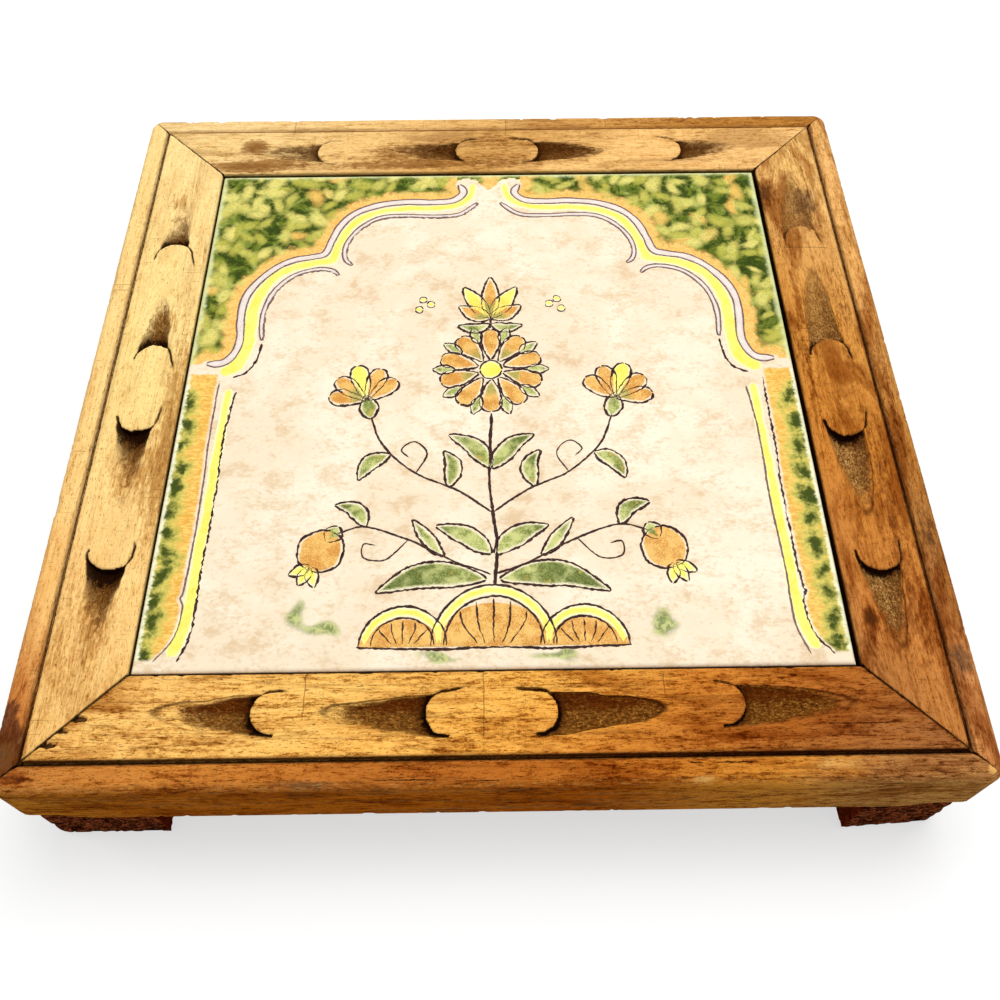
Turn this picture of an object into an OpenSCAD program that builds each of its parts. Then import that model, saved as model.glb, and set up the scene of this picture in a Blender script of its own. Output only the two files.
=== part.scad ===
// Square tile trivet: a glazed tile in a frame of four mitred, gouge-carved wooden rails,
// standing on a block of wood under each corner.
// The origin is at the middle of the footprint on the table: +X right, +Y away from the viewer, +Z up.

/* [Tile] */
// Length of each side of the square tile
tile_side = 152.4; // [130:0.1:250]
// Thickness of the tile
tile_t = 7; // [5:0.1:8.5]
// Radius of the tile's rolled edge
tile_edge_r = 2.5; // [0.5:0.1:4]
// Gap between the tile and the opening of the frame, all round, with the tile in the middle
tile_gap = 1; // [0.3:0.1:2]
// Diameter of a squeezed dab of adhesive
dab_d = 26; // [12:1:36]
// Thickness of a squeezed dab of adhesive
dab_t = 1.2; // [0.5:0.1:2]
// Distance of the outer dabs' middles from the tile's edges
dab_in = 28.2; // [20:0.1:40]

/* [Frame] */
// Width of a rail, from its outer face to the opening
rail_w = 24.4; // [21:0.1:32]
// Thickness of a rail
rail_t = 19; // [17:0.5:28]
// Radius of the frame's four upright corners
corner_r = 2.5; // [1:0.1:5]

/* [Moulding] */
// Width of the bead along the outside of a rail
bead_w = 5.4; // [4:0.1:8]
// Radius of the bead's outer arris
bead_outer_r = 2; // [0.5:0.1:3]
// Radius of the bead's edge along the groove
bead_inner_r = 0.9; // [0.2:0.1:1.5]
// Width of the groove beside the bead
groove_w = 1.3; // [0.6:0.1:2.5]
// Depth of the groove
groove_depth = 1.6; // [0.5:0.1:3]

/* [Gouge cuts] */
// Distance of the inner cuts' deep ends from the middle of the rail
inner_cut = 14; // [10:0.5:18]
// Distance of the outer cuts' deep ends from the corner of the opening
outer_cut_in = 25.2; // [22:0.1:28]
// Length of a cut, from its deep end to its tail
cut_length = 21.5; // [14:0.5:24]
// Depth of a cut at its deep end
cut_depth = 2.2; // [1:0.1:3]
// Sweep radius of the gouge
gouge_r = 6.6; // [5:0.1:8]
// Radius of the round tongue that stands at the deep end
tongue_r = 4.8; // [3:0.1:5.5]

/* [Backing board] */
// Width of the rabbet under the inner edge of each rail
rabbet_w = 5; // [4:0.1:6]
// Thickness of the backing board
board_t = 4; // [2.5:0.1:5]
// Gap between the board's edge and the wall of the rabbet
board_gap = 0.3; // [0:0.05:1]

/* [Feet] */
// Height of a foot
foot_h = 16.5; // [12:0.5:30]
// Length of a foot
foot_length = 27; // [25:0.5:34]
// Width of a foot
foot_width = 23; // [21.5:0.5:27]
// Distance of a foot from the frame's outer faces
foot_setback = 1; // [0:0.1:2]
// Radius of a foot's upright corner at the corner of the frame
foot_corner_r = 4; // [1:0.5:8]
// Turn of the two feet that were nailed on askew, in degrees
foot_skew = 3.5; // [0:0.5:4]

/* [Fixings] */
// Diameter of a foot nail
foot_nail_d = 1.8; // [1.4:0.1:2.2]
// Length of a foot nail
foot_nail_l = 28; // [24:1:30]
// Diameter of a foot nail's head
foot_nail_head_d = 4.2; // [3:0.1:5]
// How deep a foot nail's head is sunk into the foot
foot_nail_sink = 1; // [0.2:0.1:2]
// Distance of a foot nail from the nearer outer face
foot_nail_near = 5.6; // [4.5:0.1:6]
// Distance of a foot nail from the farther outer face
foot_nail_far = 15.6; // [13:0.1:17]
// Diameter of a mitre nail
mitre_nail_d = 1.5; // [1:0.1:2]
// Length of a mitre nail
mitre_nail_l = 30; // [24:1:36]
// Diameter of a mitre nail's head
mitre_nail_head_d = 2.4; // [2.1:0.1:2.8]
// Distance of the mitre nails from the front or back face
mitre_nail_in = 9.6; // [9.2:0.1:10.5]
// Height of the lower mitre nail above the underside of the rail
mitre_nail_low = 5; // [4:0.5:6]
// Distance between the two nails of a mitre
mitre_nail_pitch = 7; // [5:0.5:8]
// Diameter of a board brad
brad_d = 1.2; // [0.8:0.1:1.5]
// Length of a board brad
brad_l = 10; // [7:0.5:11]
// Diameter of a board brad's head
brad_head_d = 2.6; // [2:0.1:3]
// Distance of the board brads from the corners of the opening
brad_in = 35.2; // [20:0.1:50]

/* [Hidden] */
$fn = 64;

// Overrun of a cut past the face that it opens
overrun = 1;
// Thickness of the flat heads of the foot nails and the board brads
head_t = 0.6;
// Thickness of a mitre nail's head
mitre_head_t = 1.2;
// A nail's point is this many times its diameter long
point_length_share = 1.5;
// How far the tile sits from the middle of its opening, as shares of the gap: left and back
tile_left_share = 0.45;
tile_back_share = 0.55;

opening_half = tile_side / 2 + tile_gap;
half = opening_half + rail_w;
frame_side = 2 * half;
rail_z = foot_h;
top_z = foot_h + rail_t;
band_w = rail_w - bead_w - groove_w;
band_middle = opening_half + band_w / 2;
board_top = top_z - tile_t - dab_t;
rabbet_h = board_top - rail_z;
board_side = 2 * (opening_half + rabbet_w - board_gap);
tile_x = -tile_left_share * tile_gap;
tile_y = tile_back_share * tile_gap;
dab_spread = tile_side / 2 - dab_in;
outer_cut = opening_half - outer_cut_in;
brad_spread = opening_half - brad_in;
cut_tilt = atan(cut_depth / cut_length);
corners = [[1, 1], [-1, 1], [-1, -1], [1, -1]];

// Waste outside a rounded corner of radius r, for a corner at the origin whose solid lies towards +X and -Y
module arris_waste(r) {
    difference() {
        translate([-overrun, -r]) square([r + overrun, r + overrun]);
        translate([r, -r]) circle(r);
    }
}

// Cross-section of a rail: x runs inwards from the outer face, y runs up from the underside
module rail_section() {
    difference() {
        square([rail_w, rail_t]);
        translate([rail_w - rabbet_w, -overrun]) square([rabbet_w + overrun, rabbet_h + overrun]);
        translate([bead_w, rail_t - groove_depth]) square([groove_w, groove_depth + overrun]);
        translate([0, rail_t]) arris_waste(bead_outer_r);
        translate([bead_w, rail_t]) mirror([1, 0]) arris_waste(bead_inner_r);
    }
}

// Plan of the whole frame's outline, with its rounded corners
module rounded_square(side, r) {
    square([side, side - 2 * r], center = true);
    square([side - 2 * r, side], center = true);
    for (c = corners) translate(c * (side / 2 - r)) circle(r);
}

// One gouge cut: its deep end at the origin of the rail's top face, its tail towards +X
module gouge_cut() {
    difference() {
        translate([0, 0, -cut_depth]) rotate([0, -cut_tilt, 0]) translate([0, 0, gouge_r])
            rotate([0, 90, 0]) cylinder(r = gouge_r, h = 4 * cut_length, center = true);
        translate([-tongue_r, 0, -gouge_r]) cylinder(r = tongue_r, h = 4 * gouge_r);
        translate([-tongue_r - 4 * cut_length, -2 * gouge_r, -gouge_r])
            cube([4 * cut_length, 4 * gouge_r, 4 * gouge_r]);
    }
}

// A nail that points up, with the top of its head at the origin's height and its shank above
module nail(d, length, head_d, head_height) {
    cylinder(d = head_d, h = head_height);
    cylinder(d = d, h = length - point_length_share * d);
    translate([0, 0, length - point_length_share * d]) cylinder(d1 = d, d2 = 0, h = point_length_share * d);
}

// The two nails of one foot, one in each rail, at the corner of the signs in c
module foot_nail_pair(c) {
    for (place = [[foot_nail_near, foot_nail_far], [foot_nail_far, foot_nail_near]])
        translate([c[0] * (half - place[0]), c[1] * (half - place[1]), foot_nail_sink])
            nail(foot_nail_d, foot_nail_l, foot_nail_head_d, head_t);
}

// The counterbores that sink the heads of a foot's two nails
module foot_nail_sinkings(c) {
    for (place = [[foot_nail_near, foot_nail_far], [foot_nail_far, foot_nail_near]])
        translate([c[0] * (half - place[0]), c[1] * (half - place[1]), -overrun])
            cylinder(d = foot_nail_head_d, h = foot_nail_sink + overrun);
}

module all_foot_nails() {
    for (c = corners) foot_nail_pair(c);
}

// Two nails in each mitre, driven from the left and right faces into the front and back rails
module all_mitre_nails() {
    for (c = corners, level = [0, 1])
        translate([c[0] * half, c[1] * (half - mitre_nail_in), rail_z + mitre_nail_low + level * mitre_nail_pitch])
            rotate([0, -c[0] * 90, 0]) nail(mitre_nail_d, mitre_nail_l, mitre_nail_head_d, mitre_head_t);
}

// Two brads to each side of the board, up into the ledge of the rabbet
module all_board_brads() {
    for (turn = [0 : 90 : 270], along = [-brad_spread, brad_spread])
        rotate([0, 0, turn]) translate([along, -opening_half - rabbet_w / 2, board_top - board_t - head_t])
            nail(brad_d, brad_l, brad_head_d, head_t);
}

// The front rail, turned about the middle of the frame to each of the four sides
module rail(turn) {
    difference() {
        rotate([0, 0, turn]) difference() {
            intersection() {
                translate([-half, -half, rail_z]) rotate([90, 0, 90]) linear_extrude(frame_side) rail_section();
                translate([0, 0, rail_z]) linear_extrude(rail_t) polygon([[-half, -half], [half, -half], [0, 0]]);
                translate([0, 0, rail_z]) linear_extrude(rail_t) rounded_square(frame_side, corner_r);
            }
            for (side = [-1, 1], place = [inner_cut, outer_cut])
                translate([side * place, -band_middle, top_z]) mirror([side < 0 ? 1 : 0, 0, 0]) gouge_cut();
        }
        all_foot_nails();
        all_mitre_nails();
        all_board_brads();
    }
}

module front_rail() {
    color([0.80, 0.52, 0.22]) rail(0);
}

module right_rail() {
    color([0.66, 0.40, 0.18]) rail(90);
}

module back_rail() {
    color([0.82, 0.58, 0.30]) rail(180);
}

module left_rail() {
    color([0.88, 0.68, 0.38]) rail(270);
}

// Section of the tile: flat back, upright sides and a rolled upper edge
module tile_section() {
    difference() {
        translate([-tile_side / 2, 0]) square([tile_side, tile_t]);
        translate([-tile_side / 2, tile_t]) arris_waste(tile_edge_r);
        translate([tile_side / 2, tile_t]) mirror([1, 0]) arris_waste(tile_edge_r);
    }
}

module tile() {
    color([0.96, 0.90, 0.82]) translate([tile_x, tile_y, top_z - tile_t]) intersection() {
        rotate([90, 0, 0]) linear_extrude(tile_side, center = true) tile_section();
        rotate([90, 0, 90]) linear_extrude(tile_side, center = true) tile_section();
    }
}

module tile_adhesive() {
    color([0.85, 0.84, 0.80]) for (place = concat([[0, 0]], corners))
        translate([tile_x + place[0] * dab_spread, tile_y + place[1] * dab_spread, board_top])
            cylinder(d = dab_d, h = dab_t);
}

module backing_board() {
    color([0.62, 0.47, 0.31]) difference() {
        translate([-board_side / 2, -board_side / 2, board_top - board_t]) cube([board_side, board_side, board_t]);
        all_board_brads();
    }
}

// A foot at the corner of the signs in c: size_x by size_y in plan, turned by skew about its outer corner
module foot(c, size_x, size_y, skew) {
    reach = half - foot_setback;
    color([0.36, 0.20, 0.10]) difference() {
        translate([c[0] * reach, c[1] * reach, 0]) rotate([0, 0, skew]) linear_extrude(foot_h)
            mirror([c[0] < 0 ? 1 : 0, 0]) mirror([0, c[1] < 0 ? 1 : 0]) {
                translate([-size_x, -size_y]) square([size_x - foot_corner_r, size_y]);
                translate([-size_x, -size_y]) square([size_x, size_y - foot_corner_r]);
                translate([-foot_corner_r, -foot_corner_r]) circle(foot_corner_r);
            }
        foot_nail_pair(c);
        foot_nail_sinkings(c);
    }
}

module front_left_foot() {
    foot([-1, -1], foot_length, foot_width, 0);
}

module front_right_foot() {
    foot([1, -1], foot_width, foot_length, foot_skew);
}

module back_right_foot() {
    foot([1, 1], foot_length, foot_width, 0);
}

module back_left_foot() {
    foot([-1, 1], foot_width, foot_length, foot_skew);
}

module foot_nails() {
    color([0.55, 0.55, 0.56]) all_foot_nails();
}

module mitre_nails() {
    color([0.55, 0.55, 0.56]) all_mitre_nails();
}

module board_brads() {
    color([0.60, 0.60, 0.60]) all_board_brads();
}

front_rail();
right_rail();
back_rail();
left_rail();
tile();
tile_adhesive();
backing_board();
front_left_foot();
front_right_foot();
back_right_foot();
back_left_foot();
foot_nails();
mitre_nails();
board_brads();
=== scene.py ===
# %% [markdown]
# # A tile trivet
#
# A glazed tile sits in a frame of four wooden rails, mitred at the corners, each with a bead, a groove
# and four gouge cuts. A rough block of wood under every corner lifts it off the table.
#
# The construction was drawn first and is loaded here as a fixed frame. The lesson then dresses it:
# every rail is carved, the tile is glazed and drawn on, the feet are sawn, and the floor and the
# light come before all of them so that each new piece can be judged by eye.

# %% Load the construction
import math
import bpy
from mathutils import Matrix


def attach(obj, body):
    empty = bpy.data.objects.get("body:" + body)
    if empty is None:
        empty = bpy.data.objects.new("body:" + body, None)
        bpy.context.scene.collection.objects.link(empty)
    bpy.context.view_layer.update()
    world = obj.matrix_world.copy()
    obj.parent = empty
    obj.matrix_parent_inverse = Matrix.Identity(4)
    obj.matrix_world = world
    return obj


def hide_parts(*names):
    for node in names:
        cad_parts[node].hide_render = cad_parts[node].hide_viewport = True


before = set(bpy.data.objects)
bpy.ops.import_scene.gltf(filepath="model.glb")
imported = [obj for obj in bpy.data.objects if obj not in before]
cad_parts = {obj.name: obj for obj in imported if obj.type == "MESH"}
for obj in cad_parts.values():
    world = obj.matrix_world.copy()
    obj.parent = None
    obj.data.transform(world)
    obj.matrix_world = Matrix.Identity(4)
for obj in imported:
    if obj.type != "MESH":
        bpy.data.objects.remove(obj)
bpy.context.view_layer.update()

from types import SimpleNamespace

import bpy
import numpy as np

print("nodes in the frame:", len(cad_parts))

# %% [markdown]
# The camera comes first, since every choice after it is judged through it. It looks down on the
# trivet from the front at about 58 degrees, from only 25 centimetres away, with a fairly wide lens.
# That closeness is what makes the front rail so much longer in the picture than the back one.

# %% Set up the camera
MM = 0.001
camera_data = bpy.data.cameras.new("camera")
camera_data.lens = 36.53
camera_data.sensor_width = 36
camera_data.clip_start = 0.01
camera_data.clip_end = 20
camera = bpy.data.objects.new("camera", camera_data)
camera.location = (0.1 * MM, -158.9 * MM, 234.9 * MM)
camera.rotation_euler = (math.radians(31.825), math.radians(0.079), math.radians(-0.785))
bpy.context.collection.objects.link(camera)
bpy.context.scene.camera = camera
bpy.context.scene.view_settings.view_transform = "Standard"
print("camera height above the table:", round(camera.location.z, 3), "m")

# %% [markdown]
# Shaders are easier to read as sums than as a web of boxes. A `Wire` is the output of a node, and
# adding, multiplying or subtracting wires adds the Math nodes. `Finish` is a material being mixed, and
# its one method `node` adds any other node: its type, its settings, then what feeds it.

# %% A wire that can do sums
class Wire:
    """One output of a node; + - * / on it add Math nodes"""

    def __init__(self, finish, socket):
        self.finish = finish
        self.socket = socket

    def maths(self, operation, *values):
        return self.finish.node("ShaderNodeMath", {"operation": operation}, values)

    def __add__(self, other):
        return self.maths("ADD", self, other)

    def __sub__(self, other):
        return self.maths("SUBTRACT", self, other)

    def __rsub__(self, other):
        return self.maths("SUBTRACT", other, self)

    def __mul__(self, other):
        return self.maths("MULTIPLY", self, other)

    def __truediv__(self, other):
        return self.maths("DIVIDE", self, other)

    def __rtruediv__(self, other):
        return self.maths("DIVIDE", other, self)

    def __abs__(self):
        return self.maths("ABSOLUTE", self)

    __radd__ = __add__
    __rmul__ = __mul__


print("a wire answers to:", [name for name in vars(Wire) if name.startswith("__r")])


# %% A finish and its one way to add a node
class Finish:
    """A material in the making, with the shader's plain values set on its own sockets"""

    def __init__(self, name, plain):
        self.material = bpy.data.materials.new(name)
        self.material.use_nodes = True
        self.tree = self.material.node_tree
        self.shader = self.tree.nodes["Principled BSDF"]
        for socket, value in plain.items():
            self.shader.inputs[socket].default_value = value

    def node(self, kind, settings, inputs, output=0):
        """Add a node, set it, feed its sockets and hand back one output as a wire"""
        made = self.tree.nodes.new(kind)
        for name, value in settings.items():
            if name == "stops":
                self.fill_ramp(made.color_ramp, value)
            else:
                setattr(made, name, value)
        pairs = inputs.items() if isinstance(inputs, dict) else enumerate(inputs)
        for place, value in pairs:
            if isinstance(value, Wire):
                self.tree.links.new(value.socket, made.inputs[place])
            else:
                made.inputs[place].default_value = value
        return Wire(self, made.outputs[output])

    def fill_ramp(self, ramp, stops):
        """Give a colour ramp its stops, as pairs of a place and a colour"""
        while len(ramp.elements) < len(stops):
            ramp.elements.new(0.5)
        for element, (place, colour) in zip(ramp.elements, stops):
            element.position = place
            element.color = colour

    def feed(self, socket, wire):
        """Let a wire drive one socket of the shader"""
        self.tree.links.new(wire.socket, self.shader.inputs[socket])


print("a finish can:", [name for name in vars(Finish) if not name.startswith("_")])

# %% [markdown]
# A handful of short names for the nodes that every finish uses: a soft step from 0 to 1, a noise
# stretched by different amounts along and across, and a mix of two colours. Wherever a colour is
# wanted, three numbers from 0 to 255 will do, because that is how a colour is picked.

# %% Short names for the usual nodes
def paint(red, green, blue):
    """A colour on the usual 0 to 255 scale, as the linear colour that a shader wants"""
    linear = [((value / 255 + 0.055) / 1.055) ** 2.4 for value in (red, green, blue)]
    return (*linear, 1.0)


def read(finish, name):
    """The three numbers that the mesh carries under this name, as a vector wire"""
    return finish.node("ShaderNodeAttribute", {"attribute_name": name}, {}, "Vector")


def split(vector):
    """A vector wire as three wires"""
    node_of = vector.finish.node
    return [node_of("ShaderNodeSeparateXYZ", {}, [vector], axis) for axis in "XYZ"]


def noise(vector, stretch, detail=2.0, rough=0.5, shift=0.0, bend=0.0):
    """Cloudy noise from 0 to 1, with stretch waves to the millimetre along each axis"""
    node_of = vector.finish.node
    moved = node_of("ShaderNodeVectorMath", {"operation": "MULTIPLY_ADD"},
                    [vector, stretch, (shift, shift * 0.7, shift * 0.3)])
    return node_of("ShaderNodeTexNoise", {}, {
        "Vector": moved, "Scale": 1.0, "Detail": detail, "Roughness": rough, "Distortion": bend})


def swing(wire, amount):
    """A noise made to swing about zero, over this amount in all"""
    return (wire - 0.5) * amount


def step(wire, low, high):
    """0 below low, 1 above high, and a soft slope between them"""
    return wire.finish.node("ShaderNodeMapRange", {"interpolation_type": "SMOOTHSTEP"},
                            {"Value": wire, "From Min": low, "From Max": high})


print("a test colour:", [round(value, 3) for value in paint(200, 120, 50)])

# %% Short names for mixing colours
def blend(factor, first, second, how="MIX"):
    """Two colours mixed by a factor; a colour is a wire or three numbers from 0 to 255"""
    wires = [value for value in (factor, first, second) if isinstance(value, Wire)]
    first, second = [colour if isinstance(colour, Wire) else paint(*colour) for colour in (first, second)]
    return wires[0].finish.node("ShaderNodeMix", {"data_type": "RGBA", "blend_type": how},
                                {0: factor, 6: first, 7: second}, 2)


def two_tone(wire, low, high, first, second):
    """One colour that turns softly into another as the wire goes from low to high"""
    return blend(step(wire, low, high), first, second)


def coats(colour, *layers):
    """Coats laid over a colour one by one, each a mask from 0 to 1 and what is laid on there"""
    for mask, tint in layers:
        colour = blend(mask, colour, tint)
    return colour


def colour_ramp(wire, stops):
    """A run of colours, read at the place that the wire gives"""
    return wire.finish.node("ShaderNodeValToRGB", {"stops": stops}, [wire])


def bump(finish, height, depth):
    """Feed a height in millimetres, times depth, to the shader's normal"""
    finish.feed("Normal", finish.node("ShaderNodeBump", {}, {
        "Strength": 1.0, "Distance": depth * MM, "Height": height}, "Normal"))


print("helpers for colour:", [helper.__name__ for helper in (blend, two_tone, coats, colour_ramp, bump)])

# %% [markdown]
# The floor is plain and pale. To the camera it is mostly its own steady white, with enough of the real
# light left in it to keep the soft shadow. To the trivet it is an ordinary pale floor, so no extra
# light is thrown up at the wood.

# %% Lay the floor
floor_size = 6
floor_glow = 1.03
shadow_share = 0.40
floor_finish = Finish("floor_finish", {"Base Color": (0.55, 0.55, 0.55, 1), "Roughness": 0.9})
camera_ray, glossy_ray, clear_ray = [floor_finish.node("ShaderNodeLightPath", {}, {}, ray) for ray in (
    "Is Camera Ray", "Is Glossy Ray", "Is Transmission Ray")]
steady = floor_finish.node("ShaderNodeEmission", {}, {"Color": (1, 1, 1, 1), "Strength": floor_glow})
lit = floor_finish.node("ShaderNodeBsdfDiffuse", {}, {"Color": (1, 1, 1, 1)})
shown = floor_finish.node("ShaderNodeMixShader", {}, [shadow_share, steady, lit])
plain_floor = Wire(floor_finish, floor_finish.shader.outputs[0])
seen = camera_ray + glossy_ray + clear_ray
floor_mix = floor_finish.node("ShaderNodeMixShader", {}, [seen, plain_floor, shown])
floor_end = floor_finish.tree.nodes["Material Output"]
floor_finish.tree.links.new(floor_mix.socket, floor_end.inputs["Surface"])

bpy.ops.mesh.primitive_plane_add(size=floor_size, location=(0, 0, -0.05 * MM))
floor = bpy.context.object
floor.name = "floor"
floor.data.materials.append(floor_finish.material)
print("floor, metres across:", floor_size)

# %% [markdown]
# The light is a large soft lamp that hangs almost overhead, a little behind the trivet and to its
# right, a small one on the left that puts a spark on the glaze, and a pale room all round. The large
# lamp is left out of reflections, or the tile would mirror it and turn milky. The level is plain: a
# white card lying on the floor would come out just white, so a colour renders about as it is written.

# %% Hang the lamps
def hang_lamp(name, place, size, watts):
    """A square soft lamp that faces the middle of the trivet"""
    lamp_data = bpy.data.lights.new(name, "AREA")
    lamp_data.shape = "SQUARE"
    lamp_data.size = size
    lamp_data.energy = watts
    lamp = bpy.data.objects.new(name, lamp_data)
    lamp.location = place
    facing = -lamp.location
    lamp.rotation_euler = facing.to_track_quat("-Z", "Y").to_euler()
    bpy.context.collection.objects.link(lamp)
    return lamp


key_lamp = hang_lamp("key_lamp", (0.2, 0.22, 1.0), 0.75, 9.6)
key_lamp.visible_glossy = False
hang_lamp("side_lamp", (-0.75, 0.05, 0.8), 0.25, 1.6)
room = bpy.data.worlds.new("room")
room.use_nodes = True
room_light = room.node_tree.nodes["Background"].inputs
room_light["Color"].default_value = (1.0, 0.99, 0.97, 1)
room_light["Strength"].default_value = 0.34
bpy.context.scene.world = room

# %% [markdown]
# Hand work is never quite even. `drift` gives each point of a mesh a smooth random number between -1
# and 1 that changes over a chosen distance. It is worked out from the place alone, so the trivet is
# the same every time the script runs.

# %% Smooth random drift
PRIMES = np.array([73856093, 19349663, 83492791], dtype=np.int64)


def lattice(cells, seed):
    """A fixed random number from 0 to 1 for each whole-number cell"""
    mixed = np.full(cells.shape[:-1], seed * 7919 + 12345, dtype=np.int64)
    for axis in range(cells.shape[-1]):
        mixed = (mixed ^ (cells[..., axis] * PRIMES[axis])) & 0x7FFFFFFF
        mixed = (mixed * 1103515245 + 12345) & 0x7FFFFFFF
        mixed = mixed ^ (mixed >> 13)
    mixed = (mixed * 1103515245 + 12345) & 0x7FFFFFFF
    return (mixed >> 8) / float(0x7FFFFFFF >> 8)


def chances(seed, count, *cell):
    """A few fixed random numbers for one numbered thing, such as a cut or a dab"""
    return lattice(np.array([[*cell, which] for which in range(count)]), seed)


def drift(place, size, seed):
    """Smooth random numbers from -1 to 1 over place, with features about size millimetres across"""
    scaled = np.stack(np.broadcast_arrays(*place), axis=-1) / np.asarray(size, dtype=float)
    base = np.floor(scaled).astype(np.int64)
    part = scaled - base
    part = part * part * (3 - 2 * part)
    total = np.zeros(base.shape[:-1])
    axes = base.shape[-1]
    for corner in np.ndindex(*([2] * axes)):
        weight = np.prod(np.where(corner, part, 1 - part), axis=-1)
        total += weight * lattice(base + np.array(corner), seed)
    return 2 * total - 1


def ramp(value, low, high):
    """0 below low, 1 above high, and a soft slope between, for numbers in a mesh"""
    share = np.clip((np.asarray(value, dtype=float) - low) / (high - low), 0, 1)
    return share * share * (3 - 2 * share)


print("drift at three places:", np.round(drift(([0.0, 5.0, 9.0], [1.0, 1.0, 1.0]), 4, 1), 2))

# %% [markdown]
# Every carved or glazed piece here is a grid of points worked out with numpy, so one function turns
# points, faces and the numbers that the finish will read into a Blender object in the right place.

# %% Turn points into a piece
sharp_from = 50


def make_piece(name, points, quads, caps, numbers, material):
    """A smooth mesh object from points in millimetres; numbers are vectors that the finish reads"""
    mesh = bpy.data.meshes.new(name)
    corners = [np.asarray(quads).reshape(-1)] + [np.asarray(cap) for cap in caps]
    totals = np.concatenate([np.full(len(quads), 4), [len(cap) for cap in caps]]).astype(np.int32)
    corners = np.concatenate(corners).astype(np.int32)
    mesh.vertices.add(len(points))
    mesh.vertices.foreach_set("co", (np.asarray(points, dtype=np.float32) * MM).reshape(-1))
    mesh.loops.add(len(corners))
    mesh.loops.foreach_set("vertex_index", corners)
    mesh.polygons.add(len(totals))
    mesh.polygons.foreach_set("loop_start", (np.cumsum(totals) - totals).astype(np.int32))
    mesh.polygons.foreach_set("loop_total", totals)
    mesh.update(calc_edges=True)
    for label, values in numbers.items():
        layer = mesh.attributes.new(label, "FLOAT_VECTOR", "POINT")
        layer.data.foreach_set("vector", np.asarray(values, dtype=np.float32).reshape(-1))
    mesh.validate()
    mesh.shade_smooth()
    mesh.set_sharp_from_angle(angle=math.radians(sharp_from))
    mesh.materials.append(material)
    piece = bpy.data.objects.new(name, mesh)
    bpy.context.collection.objects.link(piece)
    print(name, "faces:", len(mesh.polygons))
    return piece


def grid_quads(rows, columns, wrap=False):
    """Faces of a grid of points; wrap joins the last column to the first"""
    row = np.arange(rows - 1)[:, None]
    column = np.arange(columns if wrap else columns - 1)[None, :]
    after = (column + 1) % columns
    first = row * columns + column
    second = row * columns + after
    return np.stack([first, second, second + columns, first + columns], axis=-1).reshape(-1, 4)


print("faces of a 3 by 3 grid:", len(grid_quads(3, 3)))

# %% [markdown]
# A rail is one section run along a line. The section has a tall outer face, a bead along the outside
# with a full outer arris and a tighter inner one, a narrow groove, a flat band that will be carved,
# and on the hidden side the rabbet that takes the backing board. The sizes are those of the loaded frame.

# %% The section of a rail
half = 101.6
rail_top = 35.5
rail_under = 16.5
rail_width = 24.5
bead_width = 5.75
groove_end = 6.4
groove_floor = 33.9
band_start = 6.7
band_end = 24.0
rabbet_in = 19.4
board_top = 27.3


def run(start, end, steps):
    """Evenly spaced points from start up to, but not including, end"""
    share = np.arange(steps)[:, None] / steps
    return np.array(start) * (1 - share) + np.array(end) * share


def arc(middle, radius, first, last, steps):
    """Points on an arc, the angles in degrees"""
    angle = np.radians(first + (last - first) * np.arange(steps) / steps)
    return np.array(middle) + radius * np.stack([np.cos(angle), np.sin(angle)], axis=-1)


section = np.concatenate([
    run((0, rail_under), (0, 33.5), 18),
    arc((2, 33.5), 2, 180, 90, 9),
    run((2, rail_top), (4.85, rail_top), 6),
    arc((4.85, 34.6), 0.9, 90, 0, 6),
    run((bead_width, 34.6), (bead_width, groove_floor), 4),
    run((bead_width, groove_floor), (groove_end, groove_floor), 3),
    run((groove_end, groove_floor), (groove_end, 35.2), 5),
    arc((band_start, 35.2), 0.3, 180, 90, 3),
    run((band_start, rail_top), (band_end, rail_top), 58),
    arc((band_end, 35.0), 0.5, 90, 0, 4),
    run((rail_width, 35.0), (rail_width, board_top), 8),
    run((rail_width, board_top), (rabbet_in, board_top), 4),
    run((rabbet_in, board_top), (rabbet_in, rail_under), 5),
    run((rabbet_in, rail_under), (0, rail_under), 8),
])
along_section = np.roll(section, -1, axis=0) - np.roll(section, 1, axis=0)
outward = np.stack([-along_section[:, 1], along_section[:, 0]], axis=-1)
outward /= np.linalg.norm(outward, axis=1)[:, None]
print("points round the section:", len(section))

# %% [markdown]
# The decoration is cut with one gouge. Pushed along the band it leaves a scoop that starts from
# nothing at its tail and deepens to a stop, where the wood was first set in with a curved tool: a
# round tongue of whole wood stands there, and two fine knife cuts run on past it like horns. The
# gouge was held leaning, so one wall of every scoop is steeper; that wall is painted dark as shade.
# Each cut is given by where its stop is, its length, how far in its middle lies, its depth, how much
# stain it drank and how far the black of its painted shadow reaches from its stop.

# %% The gouge cuts of each rail
cuts = {
    "front_rail": [(-50.5, 20.5, 15.9, 2.2, 0, 1.3), (-14.5, 22, 15.5, 2.1, 0.3, 1.3),
                   (13, 22.5, 15.7, 2.3, 1, 0.8), (51.5, 23, 16.7, 2.3, 0.3, 0.6)],
    "right_rail": [(-54.5, 19, 15.2, 2.2, 0.3, 1.1), (-18, 22.5, 15.6, 2.3, 0.3, 1.6),
                   (12.5, 25, 15.4, 2.2, 0.6, 0.7), (53.5, 21.5, 15.6, 2.2, 0.4, 0.6)],
    "back_rail": [(-56.5, 17, 15.4, 2.0, 0.5, 1.3), (-14.5, 20, 15.6, 1.9, 1, 1.6),
                  (10, 20.5, 15.3, 1.9, 0.5, 1.3), (50.5, 21.5, 15.5, 1.7, 0.3, 1.3)],
    "left_rail": [(-49, 15.5, 15.4, 1.5, 0.6, 1.2), (-13, 16, 15.6, 1.6, 0.8, 1.4),
                  (14, 21.5, 15.2, 2.0, 0.3, 2.4), (52, 19, 15.6, 2.1, 0.5, 2.2)],
}
steep_side = {"front_rail": 1, "right_rail": -1, "back_rail": -1, "left_rail": 1}
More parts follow.
